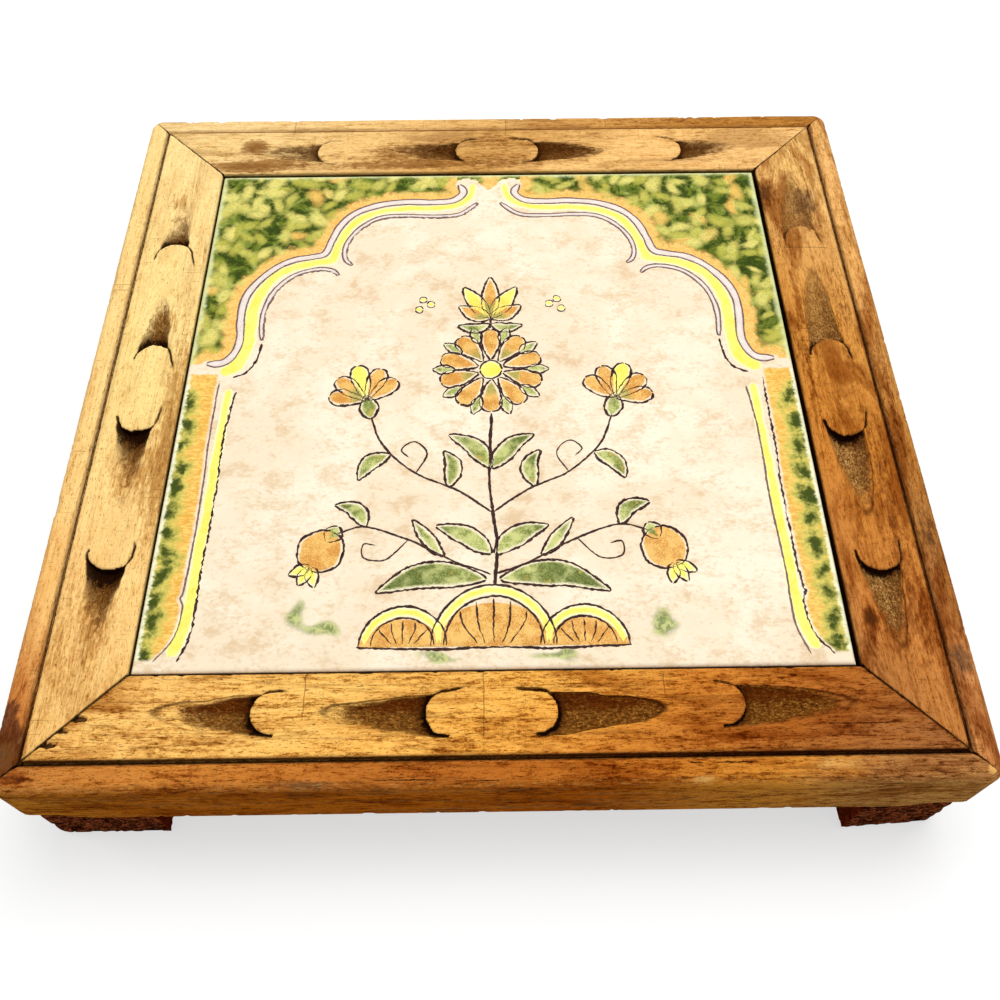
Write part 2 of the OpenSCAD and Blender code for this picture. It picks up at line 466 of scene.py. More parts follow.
print("cuts:", sum(len(rail_cuts) for rail_cuts in cuts.values()))

# %% Two knife cuts round a tongue
knife_width = 0.42
horn_shortest = 2.5
horn_spare = 4.5


def knife_cuts(back, side, from_tongue, rounder, scoop, black, own):
    """How plainly the knife shows at each point, round the tongue and in the horns past it"""
    past = -back - rounder + 1.0
    shown = np.zeros_like(back)
    for which, sign in enumerate((-1, 1)):
        horn_length = horn_shortest + horn_spare * own[2 + which]
        opening_out = rounder - 0.1 + past * (0.36 * own[4 + which] - 0.02)
        off_line = np.where(past > 0, np.abs(side * sign - opening_out), np.abs(from_tongue))
        fade = ramp(-past, -horn_length, -horn_length * 0.35) * (side * sign > 0) * ramp(-scoop, -0.3, 0.1)
        line = np.clip(1 - off_line / (knife_width + 0.06 * black), 0, 1) * fade
        shown = np.maximum(shown, line * (0.78 + 0.22 * own[6 + which]))
    return shown


print("a horn is", horn_shortest, "to", horn_shortest + horn_spare, "mm long")

# %% Carve the cuts of a rail
tongue_round = 4.7
steep_sweep = 4.5
shallow_sweep = 7.0
far_off = 9.0


def carve(along, inward, rail_cuts, steep, seed):
    """The cuts' depth, distances from tongue and rim, knife cuts, place across and how soaked a cut is"""
    plain = np.zeros_like(along)
    marks = SimpleNamespace(depth=plain, tongue=plain + far_off, rim=plain - far_off, knife=plain,
                            across=plain, soaked=plain)
    shake = 0.16 * drift((along, inward), 1.6, seed) + 0.3 * drift((along, inward), 6, seed + 1)
    chipped = drift((along, inward), 1.0, seed + 2) + 0.8 * drift((along, inward), 2.4, seed + 3)
    for number, (stop, length, middle, deep, wetness, black) in enumerate(rail_cuts):
        back = (along - stop) * np.sign(stop)
        own = chances(seed, 9, number)
        side = (inward - middle + shake) * steep - (own[0] - 0.5) * back / length
        near = (back > -14) & (back < length + 6) & (np.abs(side) < far_off)
        sweep_round = np.where(side > 0, steep_sweep, shallow_sweep)
        hollow_round = np.sqrt(np.maximum(sweep_round ** 2 - side ** 2, 0.01))
        scoop = deep * (1 - back / length) - sweep_round + hollow_round
        rounder = tongue_round + 0.5 * (own[1] - 0.5)
        from_tongue = np.hypot(np.maximum(back + rounder, 0), side) - rounder + 0.09 * black * chipped
        knife = knife_cuts(back, side, from_tongue, rounder, scoop, black, own)
        open_wood = ramp(from_tongue, -0.12, 0.32) * (back > -rounder - 0.4)
        here = np.maximum(np.maximum(scoop, 0) * open_wood, 0.5 * knife)
        marks.knife = np.where(near, np.maximum(marks.knife, knife), marks.knife)
        marks.depth = np.where(near, np.maximum(marks.depth, here), marks.depth)
        # Dividing by the last number of a cut lets the black of the painted shadow reach further from its
        # tongue
        stretched = from_tongue / np.where(from_tongue > 0, black, 1)
        marks.tongue = np.where(near, stretched, marks.tongue)
        marks.soaked = np.where(near, wetness, marks.soaked)
        rim = np.where((from_tongue > -0.3) & (back > -rounder - 0.2), scoop * 1.2, -far_off)
        nearer = near & (rim > marks.rim)
        marks.across = np.where(nearer, side, marks.across)
        marks.rim = np.where(nearer, rim, marks.rim)
    return marks


print("a tongue is about", 2 * tongue_round, "mm wide")

# %% [markdown]
# Old handling shows as smudges, scuffs and bleached patches. They are listed for each rail as
# soft ovals: place along, distance in, half length, half width, then how dark, how pale and how grey.

# %% Stains and scuffs of each rail
stains = {
    # The pale spot on the front bead, 41 mm along and 1 mm in, is partly a scuff and partly a painted glint
    "front_rail": [
        (-97, 3, 5, 2.4, 0.9, 0, 0.5), (-62, 3, 9, 2.0, 0.6, 0, 0.4), (-38, 1, 9, 1.2, 0.5, 0, 0.9),
        (-88, 10, 5, 2.5, 0.5, 0, 0.1), (-68, 17, 5, 3, 0.5, 0, 0), (-62, 9.5, 14, 2.4, 0.6, 0, 0),
        (-10, 9, 22, 2.6, 0.5, 0, 0), (41, 1.0, 4, 1.1, 0, 0.9, 0.1), (68, 3.8, 8, 1.6, 0, 0.8, 0),
        (80, 13, 22, 7, 0.45, 0, 0.3), (-75, 19, 12, 4, 0, 0.3, 0), (96, 12, 5, 12, 0.4, 0, 0.4),
        (52, 21, 24, 3, 0.5, 0, 0), (44, 9, 14, 2.6, 0.7, 0, 0), (-50, 16, 3, 7, 0.4, 0, 0),
        (74, 8.5, 9, 1.2, 0, 0.4, 0), (88, 3, 7, 2, 0.5, 0, 0.4), (20, 4, 12, 1.4, 0.4, 0, 0),
        (99, 2.2, 1.6, 1.4, 0, 1.3, 0), (-83.5, 20.5, 5, 1.2, 0.8, 0, 0), (-79, 17, 6, 1.4, 0.7, 0, 0),
        (-86.5, 14.3, 3.5, 1.2, 0.8, 0, 0), (-74, 12, 8, 1.5, 0.5, 0, 0)],
    "right_rail": [
        (63, 13, 7, 4.5, 0.6, 0, 1.0), (67, 23, 6, 2.8, 1.5, 0, 0.4), (50, 21, 8, 3, 0.5, 0, 0.1),
        (-25, 10, 24, 4, 0.4, 0, 0.4), (-62, 10, 24, 4, 0.6, 0, 0.4), (-94, 4, 6, 4, 0.3, 0, 0.3),
        (78, 20, 6, 4, 0, 0.4, 0), (-10, 3, 14, 2, 0.5, 0, 0.3), (-45, 3, 14, 2.4, 0.5, 0, 0.7),
        (-76, 3, 4.5, 2.4, 0.5, 0, 1.1), (0, 22, 26, 2, 0.6, 0, 0), (22, 10, 12, 3, 0.5, 0, 0.5),
        (-70, 21, 6, 3, 0.7, 0, 0.2), (-66, 20.5, 2.0, 1.5, 1.5, 0, 0.3), (32, 21, 8, 2.4, 0, 0.5, 0),
        (26, 3, 8, 3, 0.3, 0, 0.5)],
    "back_rail": [
        (69, 13, 4, 3.2, 1.4, 0, 0), (58, 18, 8, 3, 0.6, 0, 0.1), (71, 21.5, 12, 2.8, 1.2, 0, 0.2),
        (30, 16, 7, 4, 0.7, 0, 0), (18, 16, 8, 5, 0.6, 0, 0), (30, 22, 30, 2.0, 0.5, 0, 0),
        (-22, 15, 9, 5, 0.6, 0, 0), (0, 21, 50, 2.6, 0.4, 0, 0), (-62, 15, 8, 5, 0.5, 0, 0.3),
        (-60, 3, 34, 2.4, 0.5, 0, 0), (2, 10, 14, 4, 0.4, 0, 0), (-4, 16, 9, 6, 0.4, 0, 0)],
    "left_rail": [
        (-66, 14, 5, 3.5, 0.6, 0, 0), (-21, 16, 5, 3.4, 0.9, 0, 0), (4, 23.5, 28, 4.2, 0.75, 0, 0),
        (26, 15, 10, 4.5, 0.8, 0, 0), (-60, 18, 40, 6, 0, 0.3, 0), (32, 23, 20, 4, 0.5, 0, 0),
        (94.5, 3, 5.5, 4, 1.5, 0, 0.7), (64, 15, 10, 5, 0.8, 0, 0), (84, 17, 12, 5, 0.3, 0, 0),
        (80, 3.5, 7, 3, 0.5, 0, 0.2), (60, 8, 24, 2, 0.4, 0, 0), (80, 11, 9, 4, 0.45, 0, 0.25)],
}
most_stain = 1.5


def stain_map(along, inward, rail_stains_and_light):
    """How dark, how pale and how grey each point is, from 0 to the most a stain may be"""
    total = np.zeros((*along.shape, 3))
    for place, middle, long_half, wide_half, *strengths in rail_stains_and_light:
        reach = ((along - place) / long_half) ** 2 + ((inward - middle) / wide_half) ** 2
        total += np.exp(-reach)[..., None] * np.array(strengths)
    return np.clip(total, 0, most_stain)


print("stains:", sum(len(rail_stains_and_light) for rail_stains_and_light in stains.values()))

# %% [markdown]
# The front left joint has lost a few splinters along its edge. Each is a small hollow: place along,
# distance in, half length and depth. Four hair cracks follow the grain, three on the front rail and
# one on the back rail: start, end, distance in and width.

# %% Splinters and cracks
splinters = {"front_rail": [(-90.6, 9.7, 2.2, 0.8), (-88.0, 12.6, 1.5, 0.7), (-85.1, 15.1, 1.9, 0.8)]}
cracks = {"front_rail": [(28, 56, 4.3, 0.14), (50, 84, 11.8, 0.16), (-30, 4, 1.5, 0.12)],
          "back_rail": [(-70, -20, 3.0, 0.12)]}
crack_fade = 5


def splinter_hollows(along, inward, name, seed):
    """How deep the lost splinters leave each point"""
    hollow = np.zeros_like(along)
    for place, middle, size, deep in splinters.get(name, []):
        off = np.hypot((along - place) / size, (inward - middle) / (size * 0.45))
        off = off + 0.25 * drift((along, inward), 0.6, seed)
        hollow = np.maximum(hollow, deep * ramp(-off, -1.0, -0.55))
    return hollow


def hair_cracks(along, inward, name, seed):
    """How much of a hair crack shows at each point"""
    shown = np.zeros_like(along)
    for start, end, middle, wide in cracks.get(name, []):
        off_line = np.abs(inward - middle - 0.25 * drift((along,), 7, seed))
        fade = ramp(along, start, start + crack_fade) * ramp(-along, -end, crack_fade - end)
        shown += np.exp(-(off_line / wide) ** 2) * fade
    return shown


print("splinters:", len(splinters["front_rail"]), "cracks:", sum(map(len, cracks.values())))

# %% [markdown]
# Now a rail can be made. Rows of the section stand across it, square to it along the middle and fanned
# out at the ends so that the last row lies on the mitre. Everything that is worn away is moved inwards
# along the section's own outward direction, so no point ever leaves the space of the drawn rail.

# %% Lay out the rows and round the corners
row_count = 620
square_part = 72.0
mitre_gap = 0.1
corner_round = 3.8


def fan(row, inward):
    """Place along the rail of each row at each distance in from the outer face"""
    end = half - inward - mitre_gap
    beyond = (np.abs(row) - square_part) / (half - square_part)
    fanned = square_part + np.maximum(beyond, 0) * (end - square_part)
    return np.where(np.abs(row) <= square_part, row, np.sign(row) * fanned)


def rounding(past_x, past_y):
    """Which points lie in a corner's square, and how much nearer each moves to make it round"""
    bent = (past_x > 0) & (past_y > 0)
    true = np.maximum(np.hypot(past_x, past_y), 1e-9)
    return bent, np.where(bent, np.maximum(past_x, past_y) / true, 1.0)


def round_corners(x, y, radius):
    """Bend the square rings of the frame into round ones near its upright corners"""
    past_x = np.maximum(np.abs(x) - (half - radius), 0)
    past_y = np.maximum(np.abs(y) - (half - radius), 0)
    bent, share = rounding(past_x, past_y)
    new_x = np.where(bent, np.sign(x) * (half - radius + past_x * share), x)
    new_y = np.where(bent, np.sign(y) * (half - radius + past_y * share), y)
    return new_x, new_y


print("rows along a rail:", row_count)

# %% Wear a rail
arrises = {"outer": (0.6, 34.9, 1.1), "bead": (5.4, 35.2, 0.5), "band": (6.6, 35.4, 0.45),
           "opening": (24.3, 35.3, 0.6), "low": (0, rail_under, 1.6)}
sheltered_wear = 0.02


def wear(along, inward, height, seed):
    """How far each point of the rail is worn away, in millimetres, and where its arrises are"""
    near = {name: np.exp(-(np.hypot(inward - middle, height - level) / reach) ** 2)
            for name, (middle, level, reach) in arrises.items()}
    in_groove = (inward > bead_width - 0.05) & (height < 35.0) & (inward < 6.9)
    sheltered = (inward > 24.4) | (height < 20) | in_groove
    swell = 0.05 + 0.045 * drift((along, inward + height), (14, 9), seed)
    ripple = 0.02 * (1 + drift((along, inward, height), (3, 0.8, 0.8), seed + 1))
    dents = ramp(drift((along,), 3.1, seed + 2) + 0.6 * drift((along,), 0.9, seed + 3), 0.55, 1.3)
    nicks = ramp(drift((along, inward), (1.6, 3), seed + 4), 0.45, 0.9)
    fine = ramp(drift((along, inward), (0.7, 2), seed + 5), 0.35, 0.9)
    worn = near["outer"] * (0.1 + 0.5 * dents + 0.12 * fine)
    worn += near["bead"] * (0.06 + 0.25 * nicks + 0.12 * fine)
    worn += near["band"] * (0.04 + 0.25 * nicks * fine + 0.12 * fine)
    worn += near["opening"] * (0.06 + 0.25 * dents)
    worn += near["low"] * (0.25 + 1.7 * ramp(np.abs(along), 84, 100) + 0.3 * dents)
    amount = np.where(sheltered, sheltered_wear, swell + ripple) + worn
    return amount, np.maximum.reduce([near[name] for name in ("outer", "bead", "band", "opening")])


print("arrises that wear:", list(arrises))

# %% Shape one rail
groove_fill = {"front_rail": 0, "right_rail": 0.2, "back_rail": 0.6, "left_rail": 0.15}
band_level = 35.1


def shape_rail(name, seed):
    """A carved and worn rail at the front: its points, and the numbers that its finish reads"""
    rows = np.linspace(-half, half, row_count)[:, None]
    inward, height = [np.broadcast_to(column, (row_count, len(section))) for column in section.T]
    along = fan(rows, inward)
    to_mitre = half - inward - np.abs(along)
    on_band = (inward > groove_end) & (height > band_level)
    amount, arris = wear(along, inward, height, seed)
    splintered = ramp(drift((along, inward * 2), (3, 1.4), seed + 6), 0.1, 0.9)
    amount = amount + np.exp(-(to_mitre / 0.4) ** 2) * (height > 34) * (0.08 + 0.4 * splintered)
    y = -half + inward - outward[None, :, 0] * amount
    z = height - outward[None, :, 1] * amount
    in_groove = (inward > bead_width - 0.05) & (inward < groove_end + 0.05) & (height < band_level)
    z = np.where(in_groove, z + groove_fill[name] * (band_level - z), z)

    cut = carve(along, inward, cuts[name], steep_side[name], seed + 10)
    hollow = splinter_hollows(along, inward, name, seed + 8) * on_band
    crack = hair_cracks(along, inward, name, seed + 30)
    torn = 0.10 * drift((along, inward), (1.1, 0.6), seed + 20)
    torn = torn + 0.07 * drift((along, inward), 0.5, seed + 21)
    eased = 0.2 * np.exp(-((cut.tongue + 0.2) / 0.7) ** 2) * (cut.depth < 0.2) * (cut.rim > -1.5)
    z = z - np.where(on_band, cut.depth * (1 + torn * 0.8) + eased + hollow, 0)
    x, y = round_corners(along, y, corner_round)
    in_cut = np.stack([cut.tongue, cut.depth, cut.rim], -1)
    numbers = {
        "grain": np.stack([along, inward, height], -1),
        "cut": np.where(on_band[..., None], in_cut, [far_off, 0, -far_off]),
        "lines": np.stack([cut.knife * on_band, to_mitre, arris], -1),
        "scoop": np.stack([cut.across, cut.soaked, hollow * 1.3 + crack], -1),
        "stain": stain_map(along, inward, stains[name]),
    }
    return x, y, z, numbers


print("share of each groove that is filled in:", groove_fill)

# %% Make one rail
def make_rail(name, turn, material, seed):
    """A rail turned to its own side, with its two mitres closed"""
    x, y, z, numbers = shape_rail(name, seed)
    angle = math.radians(turn)
    turned_x = x * math.cos(angle) - y * math.sin(angle)
    turned_y = x * math.sin(angle) + y * math.cos(angle)
    points = np.stack([turned_x, turned_y, z], -1).reshape(-1, 3)
    ring = np.arange(len(section))
    caps = [ring, ring[::-1] + (row_count - 1) * len(section)]
    quads = grid_quads(row_count, len(section), wrap=True)
    piece = make_piece(name + "_carved", points, quads, caps, numbers, material)
    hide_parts(name)
    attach(piece, "root")


print("points in a rail:", row_count * len(section))

# %% [markdown]
# The wood is a pale, fine-pored timber under an old brown stain. Its look is built in the order in
# which it came about: slow bands of growth, fibres and short dark pores along the grain, then
# smudges, scratches and the pale rub of worn arrises, and last the stain that pooled in the cuts and
# the dark of the groove and the joints. Painted shade goes on with them, on the steep walls of the
# cuts, at their tongues and down the wall of the opening. All the light and dark of the timber is
# added up first, as one number, and turned into a tone that multiplies the stain. So the stain can
# change slowly along a rail.

# %% Noises of the timber
timber_noises = {
    "growth": ((0.012, 0.42, 0.42), 3.0, 0.6, 0, 0.5),
    "figure": ((0.07, 0.20, 0.20), 4.0, 0.65, 3, 0.6),
    "fibre": ((0.20, 2.0, 2.0), 4.0, 0.72, 5, 0.3),
    "mottle": ((0.45, 0.9, 0.9), 4.0, 0.7, 27, 0.5),
    "pore": ((0.8, 4.0, 4.0), 3.0, 0.65, 9, 0),
    "speck": ((2.6, 4.2, 4.2), 2.0, 0.6, 14, 0),
    "flame": ((0.16, 1.0, 1.0), 3.0, 0.6, 70, 1.2),
    "blotch": ((0.035, 0.12, 0.12), 4.0, 0.68, 60, 0.8),
    "ring": ((0.008, 0.30, 0.30), 2.0, 0.5, 21, 0),
    "scratch": ((5.0, 0.12, 0.12), 1.0, 0.5, 30, 0),
    "scratched": ((0.12, 0.2, 0.2), 1.0, 0.5, 33, 0),
    "worn": ((0.5, 2.0, 2.0), 3.0, 0.7, 40, 0),
    "crumbs": ((1.6, 2.5, 1.0), 3.0, 0.8, 50, 0),
}


def read_rail(finish, shift):
    """The numbers on a rail's mesh and the noises of its timber, each as a wire with a name"""
    grain = read(finish, "grain")
    rail = SimpleNamespace()
    rail.along, rail.inward, rail.height = split(grain)
    rail.tongue, rail.depth, rail.rim = split(read(finish, "cut"))
    rail.knife, rail.to_mitre, rail.arris = split(read(finish, "lines"))
    rail.across, rail.soaked, rail.crack = split(read(finish, "scoop"))
    rail.dark, rail.pale, rail.grey = split(read(finish, "stain"))
    for name, (stretch, detail, rough, offset, bend) in timber_noises.items():
        setattr(rail, name, noise(grain, stretch, detail, rough, shift + offset, bend))
    return rail


print("noises in the timber:", len(timber_noises))

# %% Stain the timber
timber_tones = [(0.24, (1.0, 1.0, 1.0, 1)), (0.42, (0.92, 0.87, 0.80, 1)), (0.54, (0.74, 0.64, 0.50, 1)),
                (0.66, (0.47, 0.33, 0.20, 1)), (0.82, (0.22, 0.12, 0.05, 1))]
tone_weights = {"growth": 0.35, "figure": 0.45, "fibre": 0.75, "flame": 0.6, "mottle": 0.6, "speck": 0.4}
middle_tone = sum(tone_weights.values()) / 2


def spread(stops):
    """Stops of colour along a rail: places in millimetres from its middle, each with its colour"""
    return [((place + half) / (2 * half), paint(*colour)) for place, colour in stops]


def stain_timber_with_painted_light(rail, look):
    """The stain of the band, the bead and the outer face, with the timber showing through, paler towards
    the back left and darker on the outer face, partly as painted light
    """
    on_face = step(rail.height + rail.inward * 0.4 + swing(rail.mottle, 1.6), 34.9, 33.6)
    on_face = on_face * step(rail.inward, 3.0, 1.0)
    on_bead = step(rail.inward, 6.1, 5.8)
    tone = sum(getattr(rail, name) * weight for name, weight in tone_weights.items())
    tone = (tone - middle_tone) * (on_face * 0.9 + look.contrast) + look.age
    place = (rail.along + half) / (2 * half) - (rail.inward - 15) * 0.006 + swing(rail.figure, 0.2)
    band, bead, face = [colour_ramp(place, spread(stops)) for stops in (look.band, look.bead, look.face)]
    stain = blend(on_face, blend(on_bead, band, bead), face)
    colour = blend(1.0, stain, colour_ramp(tone, timber_tones), "MULTIPLY")
    dry_streak = on_face * step(rail.growth * 0.5 + rail.fibre * 0.5, 0.50, 0.60)
    colour = blend(dry_streak * 0.22, colour, look.pale)
    colour = blend(step(rail.blotch, 0.46, 0.64) * look.blotchy, colour, look.smear, "MULTIPLY")
    ring = step(abs(rail.ring - 0.5), 0.018, 0.0)
    return coats(colour, (ring * look.contrast * 0.24, (96, 50, 16)),
                 (step(rail.pore, 0.60, 0.70) * look.flecks * 0.75, look.deep),
                 (step(rail.speck, 0.63, 0.72) * look.flecks * 0.5, look.deep))


print("tones of the timber:", len(timber_tones), "about a middle of", round(middle_tone, 3))

# %% Smudge, scratch and rub the surface
old_grey = (98, 76, 54)


def use_wood(rail, look, colour):
    """Dirt, grey weathering, scuffs and a painted glint on the front bead, scratches (kept as rail.scored),
    score marks and worn arrises
    """
    patchy = step(rail.dark + swing(rail.mottle, 1.3) + swing(rail.fibre, 1.1), 0.25, 0.85)
    stained = step(rail.dark + swing(rail.mottle, 1.2) + swing(rail.fibre, 0.6), 0.80, 1.35)
    greyed = step(rail.grey + swing(rail.mottle, 1.2) + swing(rail.growth, 0.6), 0.35, 0.95)
    # Pale scuffs, one of them on the front bead partly a painted glint
    scuffs_and_glints = step(rail.pale + swing(rail.mottle, 1.2) + swing(rail.speck, 0.4), 0.45, 0.95)
    rail.scored = step(rail.scratch, 0.70, 0.73) * step(rail.scratched, 0.50, 0.62)
    colour = blend(patchy * 0.85, colour, look.smear, "MULTIPLY")
    colour = coats(colour, (stained * 0.7, look.deep), (greyed * 0.55, old_grey),
                   (scuffs_and_glints * 0.6, look.pale), (rail.scored * 0.22, look.deep))
    for place, start, end in look.scores:
        off_score = abs(rail.along - place + swing(rail.growth, 0.6))
        hairline = step(off_score, 0.20, 0.05) * step(rail.inward, start, start + 1)
        hairline = hairline * step(rail.inward, end, end - 1)
        colour = blend(hairline * 0.55, colour, look.deep)
    return blend(rail.arris * step(rail.worn, 0.52, 0.66) * look.rub, colour, look.pale)


print("grey of old weathering:", old_grey)

# %% Darken the cuts
# Dirt in the knife cuts, cracks and mitres, and painted shade in the line along each stop
dirt_and_shade = (34, 16, 5)
# Colour of the painted shade line round the rim of a cut
rim_shade = (60, 20, 3)
fade_start = 0.0
fade_end = 45.0


def darken_cuts(rail, look, colour):
    """Stain in the scoops (kept as rail.wet); painted shade on the steep walls, beside the tongues, along
    the rim and the stop; and dark knife cuts
    """
    darkest, middle, lightest = look.scoop
    kept = 1 - step(rail.along, fade_start, fade_end) * look.faded
    wet = rail.depth + rail.soaked + swing(rail.speck, 0.7) + swing(rail.mottle, look.ragged) * 0.45
    rail.wet = step(wet, *look.soak) * step(rail.depth, 0.02, 0.12)
    scoop = two_tone(rail.crumbs, 0.38, 0.58, darkest, middle)
    scoop = blend(step(rail.crumbs, 0.56, 0.70), scoop, lightest)
    # Painted shade on the steep wall of every scoop, the wall turned away from the light
    steep = step(rail.across + swing(rail.mottle, 4.0) + swing(rail.pore, 1.4), -0.3, 1.4)
    steep = steep * step(rail.depth + rail.soaked * 0.4 + swing(rail.fibre, 0.9), 0.30, 0.80) * kept
    wall = two_tone(rail.crumbs, 0.50, 0.66, look.wall, middle)
    # Painted shade beside each tongue: brown further out, and black painted shadow near the stop
    from_tongue = rail.tongue + (swing(rail.speck, 1.6) + swing(rail.mottle, look.ragged))
    shade = step(from_tongue, look.shade, 0.4) * step(rail.depth, 0.05, 0.5) * kept
    black = step(from_tongue, look.shadow, look.shadow * 0.5) * step(rail.depth, 0.05, 0.4) * kept
    # Painted shade as a dark line along the rim, full on the steep side and faint on the shallow one
    drawn = step(rail.across, -3.0, 1.2) * (1 - look.rim) + look.rim
    edge = step(abs(rail.rim - 0.1 + swing(rail.pore, 0.4)), 0.22, 0.02) * step(rail.depth + 0.5, 0.2, 0.6)
    # Painted shade as a dark line along the stop, where it is undercut
    stop = step(abs(rail.tongue - 0.10 + swing(rail.speck, 0.3)), 0.24, 0.08) * step(rail.rim, -0.5, -0.05)
    knife = step(rail.knife + rail.crack + swing(rail.pore, 1.2), 0.56, 0.80)
    return coats(colour, (rail.wet * kept * 0.92, scoop), (steep * look.steep, wall),
                 (steep * step(rail.pore, 0.46, 0.60) * 0.5, darkest),
                 (shade * 0.75, two_tone(rail.pore, 0.40, 0.62, (44, 16, 3), (96, 48, 14))),
                 (black * look.line, two_tone(rail.pore, 0.56, 0.66, (20, 6, 2), (70, 34, 10))),
                 (edge * drawn * kept * look.outline, rim_shade),
                 (stop * kept * look.line, dirt_and_shade), (knife * look.line, dirt_and_shade))


print("colour of the dirt in the knife cuts:", dirt_and_shade)

# %% Darken the groove, the joints and the opening
groove_middle = 6.07
opening_shade = (22, 12, 5)


def darken_joints(rail, look, colour):
    """Dark in the groove and on its lips, grime along the mitre, and painted shade down the wall of the
    opening
    """
    off_groove = abs(rail.inward - groove_middle + swing(rail.pore, 0.5) + swing(rail.fibre, 0.2))
    lip = step(off_groove, look.groove_width + 0.75, look.groove_width + 0.1)
    groove = step(off_groove, look.groove_width + 0.12, look.groove_width - 0.08)
    seam_width = (rail.inward * 0.035 + 0.75) * look.seam
    seam = step(rail.to_mitre + swing(rail.mottle, 0.9) + swing(rail.pore, 0.3), seam_width, 0.1)
    # Painted shade down the inner wall of the opening, in the gap beside the tile
    opening = step(rail.inward, 24.3, 24.45) * step(rail.height + swing(rail.pore, 0.6), 35.0, 34.0)
    return coats(colour, (lip * step(rail.height, 34.0, 34.6) * look.lip, look.deep),
                 (groove * step(rail.height, 32.5, 33.4) * 0.96,
                  two_tone(rail.speck, 0.58, 0.72, look.groove, look.deep)),
                 (seam * 0.9, dirt_and_shade), (opening * 0.94, opening_shade))


def mix_wood(name, look, shift):
    """Stained, worn and dirty wood, all of it from the steps above"""
    finish = Finish(name, {"Specular IOR Level": 0.0})
    rail = read_rail(finish, shift)
    colour = use_wood(rail, look, stain_timber_with_painted_light(rail, look))
    finish.feed("Base Color", darken_joints(rail, look, darken_cuts(rail, look, colour)))
    finish.feed("Roughness", 0.45 + rail.fibre * 0.25 + rail.wet * 0.3)
    relief = rail.fibre * 0.5 - step(rail.pore, 0.58, 0.72) * 0.7 - rail.scored * 0.4
    bump(finish, relief + rail.wet * rail.crumbs * 3.5 + rail.mottle * 0.6, 0.18)
    return finish.material


print("middle of the groove, mm from the outer face:", groove_middle)

# %% [markdown]
# The four rails differ: the left one is blond, the right one dark, and the front one goes from gold to
# brown along its length. That is partly the stain of four boards and partly painted light: the stain
# is paler towards the back left, where the light is stronger, and darker towards the front right, and
# the outer faces are darker than the tops, partly stain and partly painted shade. So the same steps
# run four times with four sets of numbers. The first table has the colours: stops along the band, the
# bead and the outer face, the three tones of a scoop, and score marks as a place with a start and an end.

# %% The stain and painted light of each rail
rail_stains_and_light = {
    "front_rail": {
        "band": [(-96, (252, 198, 114)), (-40, (255, 200, 108)), (8, (252, 184, 84)), (30, (216, 138, 54)),
                 (62, (184, 110, 44)), (94, (164, 104, 56))],
        "bead": [(-96, (196, 128, 64)), (-55, (206, 132, 56)), (0, (184, 107, 40)), (45, (190, 112, 37)),
                 (72, (214, 142, 54)), (94, (182, 126, 72))],
        "face": [(-96, (216, 148, 50)), (-60, (204, 120, 32)), (40, (196, 104, 20)), (72, (236, 160, 60)),
                 (94, (214, 156, 84))],
        "scoop": [(58, 24, 4), (140, 86, 28), (220, 162, 78)],
        "scores": [(-39.6, 14, 24.5), (-2.5, 9.5, 25), (35, 18, 24)]},
    "right_rail": {
        "band": [(-96, (180, 120, 66)), (-68, (206, 135, 68)), (-20, (210, 138, 58)), (20, (216, 152, 74)),
                 (60, (230, 178, 108)), (80, (252, 206, 130)), (92, (255, 212, 136))],
        "bead": [(-84, (222, 154, 94)), (-60, (214, 146, 86)), (-34, (180, 120, 60)), (0, (202, 140, 70)),
                 (45, (238, 180, 106)), (92, (240, 188, 118))],
        "face": [(-96, (190, 124, 66)), (92, (220, 170, 110))],
        "scoop": [(92, 52, 20), (190, 138, 72), (248, 206, 134)],
        "scores": [(45, 9, 22), (12, 18, 24.5), (9, 19, 24.5), (16, 17, 24)]},
    "back_rail": {
        "band": [(-92, (248, 200, 132)), (-40, (250, 202, 130)), (0, (220, 168, 96)), (45, (248, 208, 140)),
                 (92, (252, 218, 152))],
        "bead": [(-96, (188, 128, 58)), (-50, (196, 138, 66)), (-10, (222, 168, 96)), (40, (248, 206, 138)),
                 (92, (250, 218, 156))],
        "face": [(-96, (200, 150, 90)), (92, (220, 180, 120))],
        "scoop": [(70, 36, 8), (112, 66, 22), (160, 108, 48)],
        "scores": [(-5, 1, 9), (-35, 1, 6), (58, 1, 8)]},
    "left_rail": {
        "band": [(-92, (255, 222, 154)), (0, (255, 222, 146)), (50, (255, 212, 138)),
                 (94, (244, 194, 116))],
        "bead": [(-96, (255, 222, 150)), (40, (255, 214, 140)), (72, (246, 192, 116)), (92, (220, 150, 80)),
                 (99.5, (200, 126, 62)), (101.6, (120, 70, 40))],
        "face": [(-96, (240, 200, 130)), (92, (150, 90, 46))],
        "scoop": [(74, 38, 9), (144, 92, 34), (208, 152, 76)],
        "scores": [(-32, 0.5, 6), (-34, 0.5, 7), (20, 0.5, 5)]},
}
print("rails with a stain of their own:", list(rail_stains_and_light))

